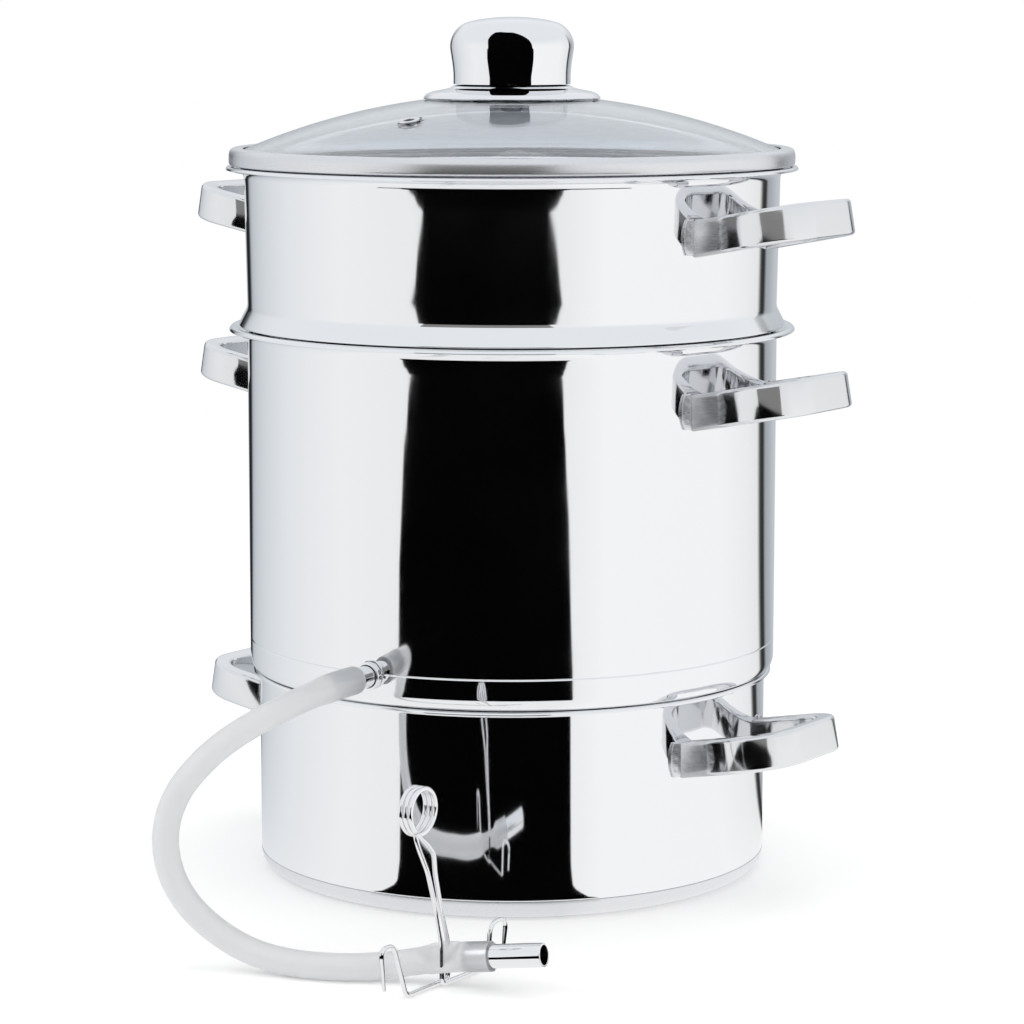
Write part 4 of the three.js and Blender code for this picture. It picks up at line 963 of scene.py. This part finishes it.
# What the steel mirrors round the studio, by the turn from the camera's side: (turn, level, blueness)
MIRRORED = [
    (-180, 0.6, 0.06), (-166, 0.55, 0.07), (-163, 0.02, 0), (-155, 0.02, 0), (-151, 0.5, 0.07),
    (-146, 0.62, 0.06), (-141, 0.68, 0.05), (-132, 0.77, 0.04), (-122, 0.84, 0.03), (-110, 0.91, 0.02),
    (-96, 0.95, 0.01), (-78, 1, 0), (-48, 0.97, 0), (23, 0.97, 0), (40, 1.06, -0.005), (100, 1.05, 0),
    (121, 0.97, 0), (131, 0.9, 0), (134, 0.05, 0), (138.5, 0.03, 0), (141, 0.42, 0.07), (156, 0.58, 0.06),
    (180, 0.6, 0.06),
]


def studio_round(tree, place, centre=0.0):
    """The studio's white and grey, laid round a point by its direction from there."""
    mapped = add_node(tree, "ShaderNodeMapping", {
        "Vector": place, "Rotation": (0, 0, radians(90 - CAMERA_TURN)), "Location": (-centre, 0, 0),
    })
    around = add_node(
        tree, "ShaderNodeTexGradient", {"Vector": mapped.outputs["Vector"]}, gradient_type="RADIAL")
    ramp = add_node(tree, "ShaderNodeValToRGB", {"Fac": around.outputs["Fac"]})
    stops = ramp.color_ramp.elements
    while len(stops) < len(MIRRORED):
        stops.new(0.5)
    for stop, (turn, level, blue) in zip(stops, MIRRORED):
        stop.position = 0.5 + turn / 360
        stop.color = (level * (1 - blue), level, level * (1 + blue), 1)
    return ramp.outputs["Color"]


# A drum's mirrored lines seem to come from a point about half its radius in front of its axis
MIRROR_CENTRE = 0.068
FLOOR_HALF_SIDE = 8
# The camera sees the floor fade to plain white between these distances from the juicer
FADE_START, FADE_END = 0.3, 0.75
floor_paint, floor_tree, floor_shader, floor_place = new_material(
    "matt white paint", "#fdfdfd", Roughness=0.9, Specular_IOR_Level=0, Emission_Color=linear("#ffffff"),
    Emission_Strength=0.12)
floor_rays = add_node(floor_tree, "ShaderNodeLightPath").outputs
mirrored_floor = even_light(floor_tree, studio_round(floor_tree, floor_place, MIRROR_CENTRE))
near_floor = mixed(floor_tree, floor_rays["Is Glossy Ray"], floor_shader.outputs["BSDF"], mirrored_floor)
away = add_node(floor_tree, "ShaderNodeVectorMath", {0: floor_place}, operation="LENGTH")
faded = add_node(floor_tree, "ShaderNodeMapRange", {
    "Value": away.outputs["Value"], "From Min": FADE_START, "From Max": FADE_END,
}, interpolation_type="SMOOTHSTEP")
seen_far = computed(floor_tree, "MULTIPLY", faded.outputs["Result"], floor_rays["Is Camera Ray"])
whole_floor = mixed(floor_tree, seen_far, near_floor, even_light(floor_tree, linear("#ffffff")))
floor_tree.links.new(whole_floor, floor_tree.nodes["Material Output"].inputs["Surface"])
floor_mesh = bmesh.new()
bmesh.ops.create_grid(floor_mesh, x_segments=1, y_segments=1, size=FLOOR_HALF_SIDE)
finished(floor_mesh, "floor", floor_paint)


def round_camera(turn, distance, height=0.0):
    """A point of the stage, by its angle from the camera's side about the juicer's axis."""
    return Matrix.Rotation(radians(turn), 4, "Z") @ (camera_side * distance) + Vector((0, 0, height))


# Dark card on the floor and behind the camera, by row: distance or height, left and right angle
CARD_STEPS, CARD_LIFT, CARD_FAR = 16, 0.0015, 1.9
CARD_FLOOR_ROWS = [
    (0.02, -66, 40), (0.034, -60, 34), (0.043, -56, 30.5), (0.05, -53.5, 28.2), (0.059, -52, 26.8),
    (0.1, -51, 26), (0.42, -51, 26), (0.62, -49.5, 25.8), (0.81, -49.2, 25), (1.05, -49, 24.5),
    (1.3, -48, 24), (1.6, -47.1, 22.9), (1.8, -46.5, 22.5), (CARD_FAR, -45.5, 22),
]
CARD_STANDING_ROWS = [
    (0, -45.5, 22), (0.04, -44.5, 21.6), (0.06, -43.3, 21), (0.08, -41.3, 20), (0.115, -40, 18.6),
    (0.137, -38.3, 16.8), (0.15, -37.5, 15.5), (0.2, -37.5, 15.5),
]
# The grey part above it, which the lid's rim mirrors
GREY_CARD_ROWS = [(0.2, -37.5, 15.5), (0.3, -38, 16), (0.9, -40, 18)]
# The high card in front that only the knob mirrors, by angle about the juicer's axis
HIGH_CARD_ROWS = [
    (0.24, -49, 43), (0.272, -48.5, 42.5), (0.3, -47, 40.5), (0.33, -45, 38.8), (0.38, -42.8, 36.5),
    (0.453, -43.5, 36), (0.588, -47, 33), (0.8, -50, 24), (1.05, -52, 11), (1.2, -40, 0),
]


def card_point(turn, distance, height):
    """Where the line that a drum mirrors at half the turn has run this far from its wall."""
    return round_camera(turn / 2, POT_RADIUS * MM) + round_camera(turn, distance, height)


def only_mirrored(name, rows, material):
    """A stage sheet through rows of points that steel mirrors and nothing else sees."""
    bm = bmesh.new()
    lines = [[bm.verts.new(point) for point in row] for row in rows]
    for low, high in zip(lines, lines[1:]):
        for k in range(CARD_STEPS):
            bm.faces.new([low[k], low[k + 1], high[k + 1], high[k]])
    piece = finished(bm, name, material)
    piece.visible_camera = False
    piece.visible_diffuse = False
    piece.visible_transmission = False
    piece.visible_shadow = False


def between(left, right):
    return [left + (right - left) * k / CARD_STEPS for k in range(CARD_STEPS + 1)]


floor_rows = [[card_point(turn, distance, CARD_LIFT) for turn in between(left, right)]
              for distance, left, right in CARD_FLOOR_ROWS]
standing_rows = [[card_point(turn, CARD_FAR, height) for turn in between(left, right)]
                 for height, left, right in CARD_STANDING_ROWS]
grey_rows = [[card_point(turn, CARD_FAR, height) for turn in between(left, right)]
             for height, left, right in GREY_CARD_ROWS]
high_rows = [[round_camera(turn, HIGH_CARD_DISTANCE, height) for turn in between(left, right)]
             for height, left, right in HIGH_CARD_ROWS]
only_mirrored("floor card", floor_rows, drum_black_card)
only_mirrored("standing card", standing_rows, black_card)
only_mirrored("grey card", grey_rows, grey_card)
only_mirrored("high card", high_rows, knob_black_card)

# Studio: white to the camera, a little darker as a light, and mirrored as it stands round the juicer
ROOM_LIGHT = 0.88
OVERHEAD_START, OVERHEAD_END = 0.04, 0.4
world = bpy.data.worlds.new("studio")
scene.world = world
world.use_nodes = True
world_tree = world.node_tree
rays = add_node(world_tree, "ShaderNodeLightPath").outputs
seen = computed(world_tree, "MAXIMUM", rays["Is Camera Ray"], rays["Is Transmission Ray"])
plain = add_node(world_tree, "ShaderNodeMapRange", {"Value": seen, "To Min": ROOM_LIGHT, "To Max": 1})
direction = add_node(world_tree, "ShaderNodeTexCoord").outputs["Generated"]
rise = add_node(world_tree, "ShaderNodeSeparateXYZ", {"Vector": direction}).outputs["Z"]
overhead = add_node(world_tree, "ShaderNodeMapRange", {
    "Value": rise, "From Min": OVERHEAD_START, "From Max": OVERHEAD_END})
around = add_node(world_tree, "ShaderNodeMix", {
    "Factor": overhead.outputs["Result"], 6: studio_round(world_tree, direction), 7: linear("#f4f7fa"),
}, data_type="RGBA").outputs[2]
shown = add_node(world_tree, "ShaderNodeMix", {
    "Factor": rays["Is Glossy Ray"], 6: plain.outputs["Result"], 7: around}, data_type="RGBA")
world_tree.links.new(shown.outputs[2], world_tree.nodes["Background"].inputs["Color"])


JUICER_MIDDLE = Vector((0, 0, 0.2))


def softbox(name, turn, distance, height, size, power):
    """A square soft lamp that looks at the middle of the juicer."""
    data = bpy.data.lights.new(name, "AREA")
    data.shape = "SQUARE"
    data.size = size
    data.energy = power
    lamp = bpy.data.objects.new(name, data)
    lamp.location = round_camera(turn, distance, height)
    lamp.rotation_euler = (JUICER_MIDDLE - lamp.location).to_track_quat("-Z", "Y").to_euler()
    lamp.visible_glossy = False
    scene.collection.objects.link(lamp)


softbox("left softbox", turn=-70, distance=1.8, height=1.4, size=1.2, power=7)
softbox("right softbox", turn=65, distance=1.8, height=1.2, size=1.2, power=4)
softbox("top softbox", turn=150, distance=0.6, height=2.2, size=1.6, power=6)

scene.view_settings.view_transform = "Standard"
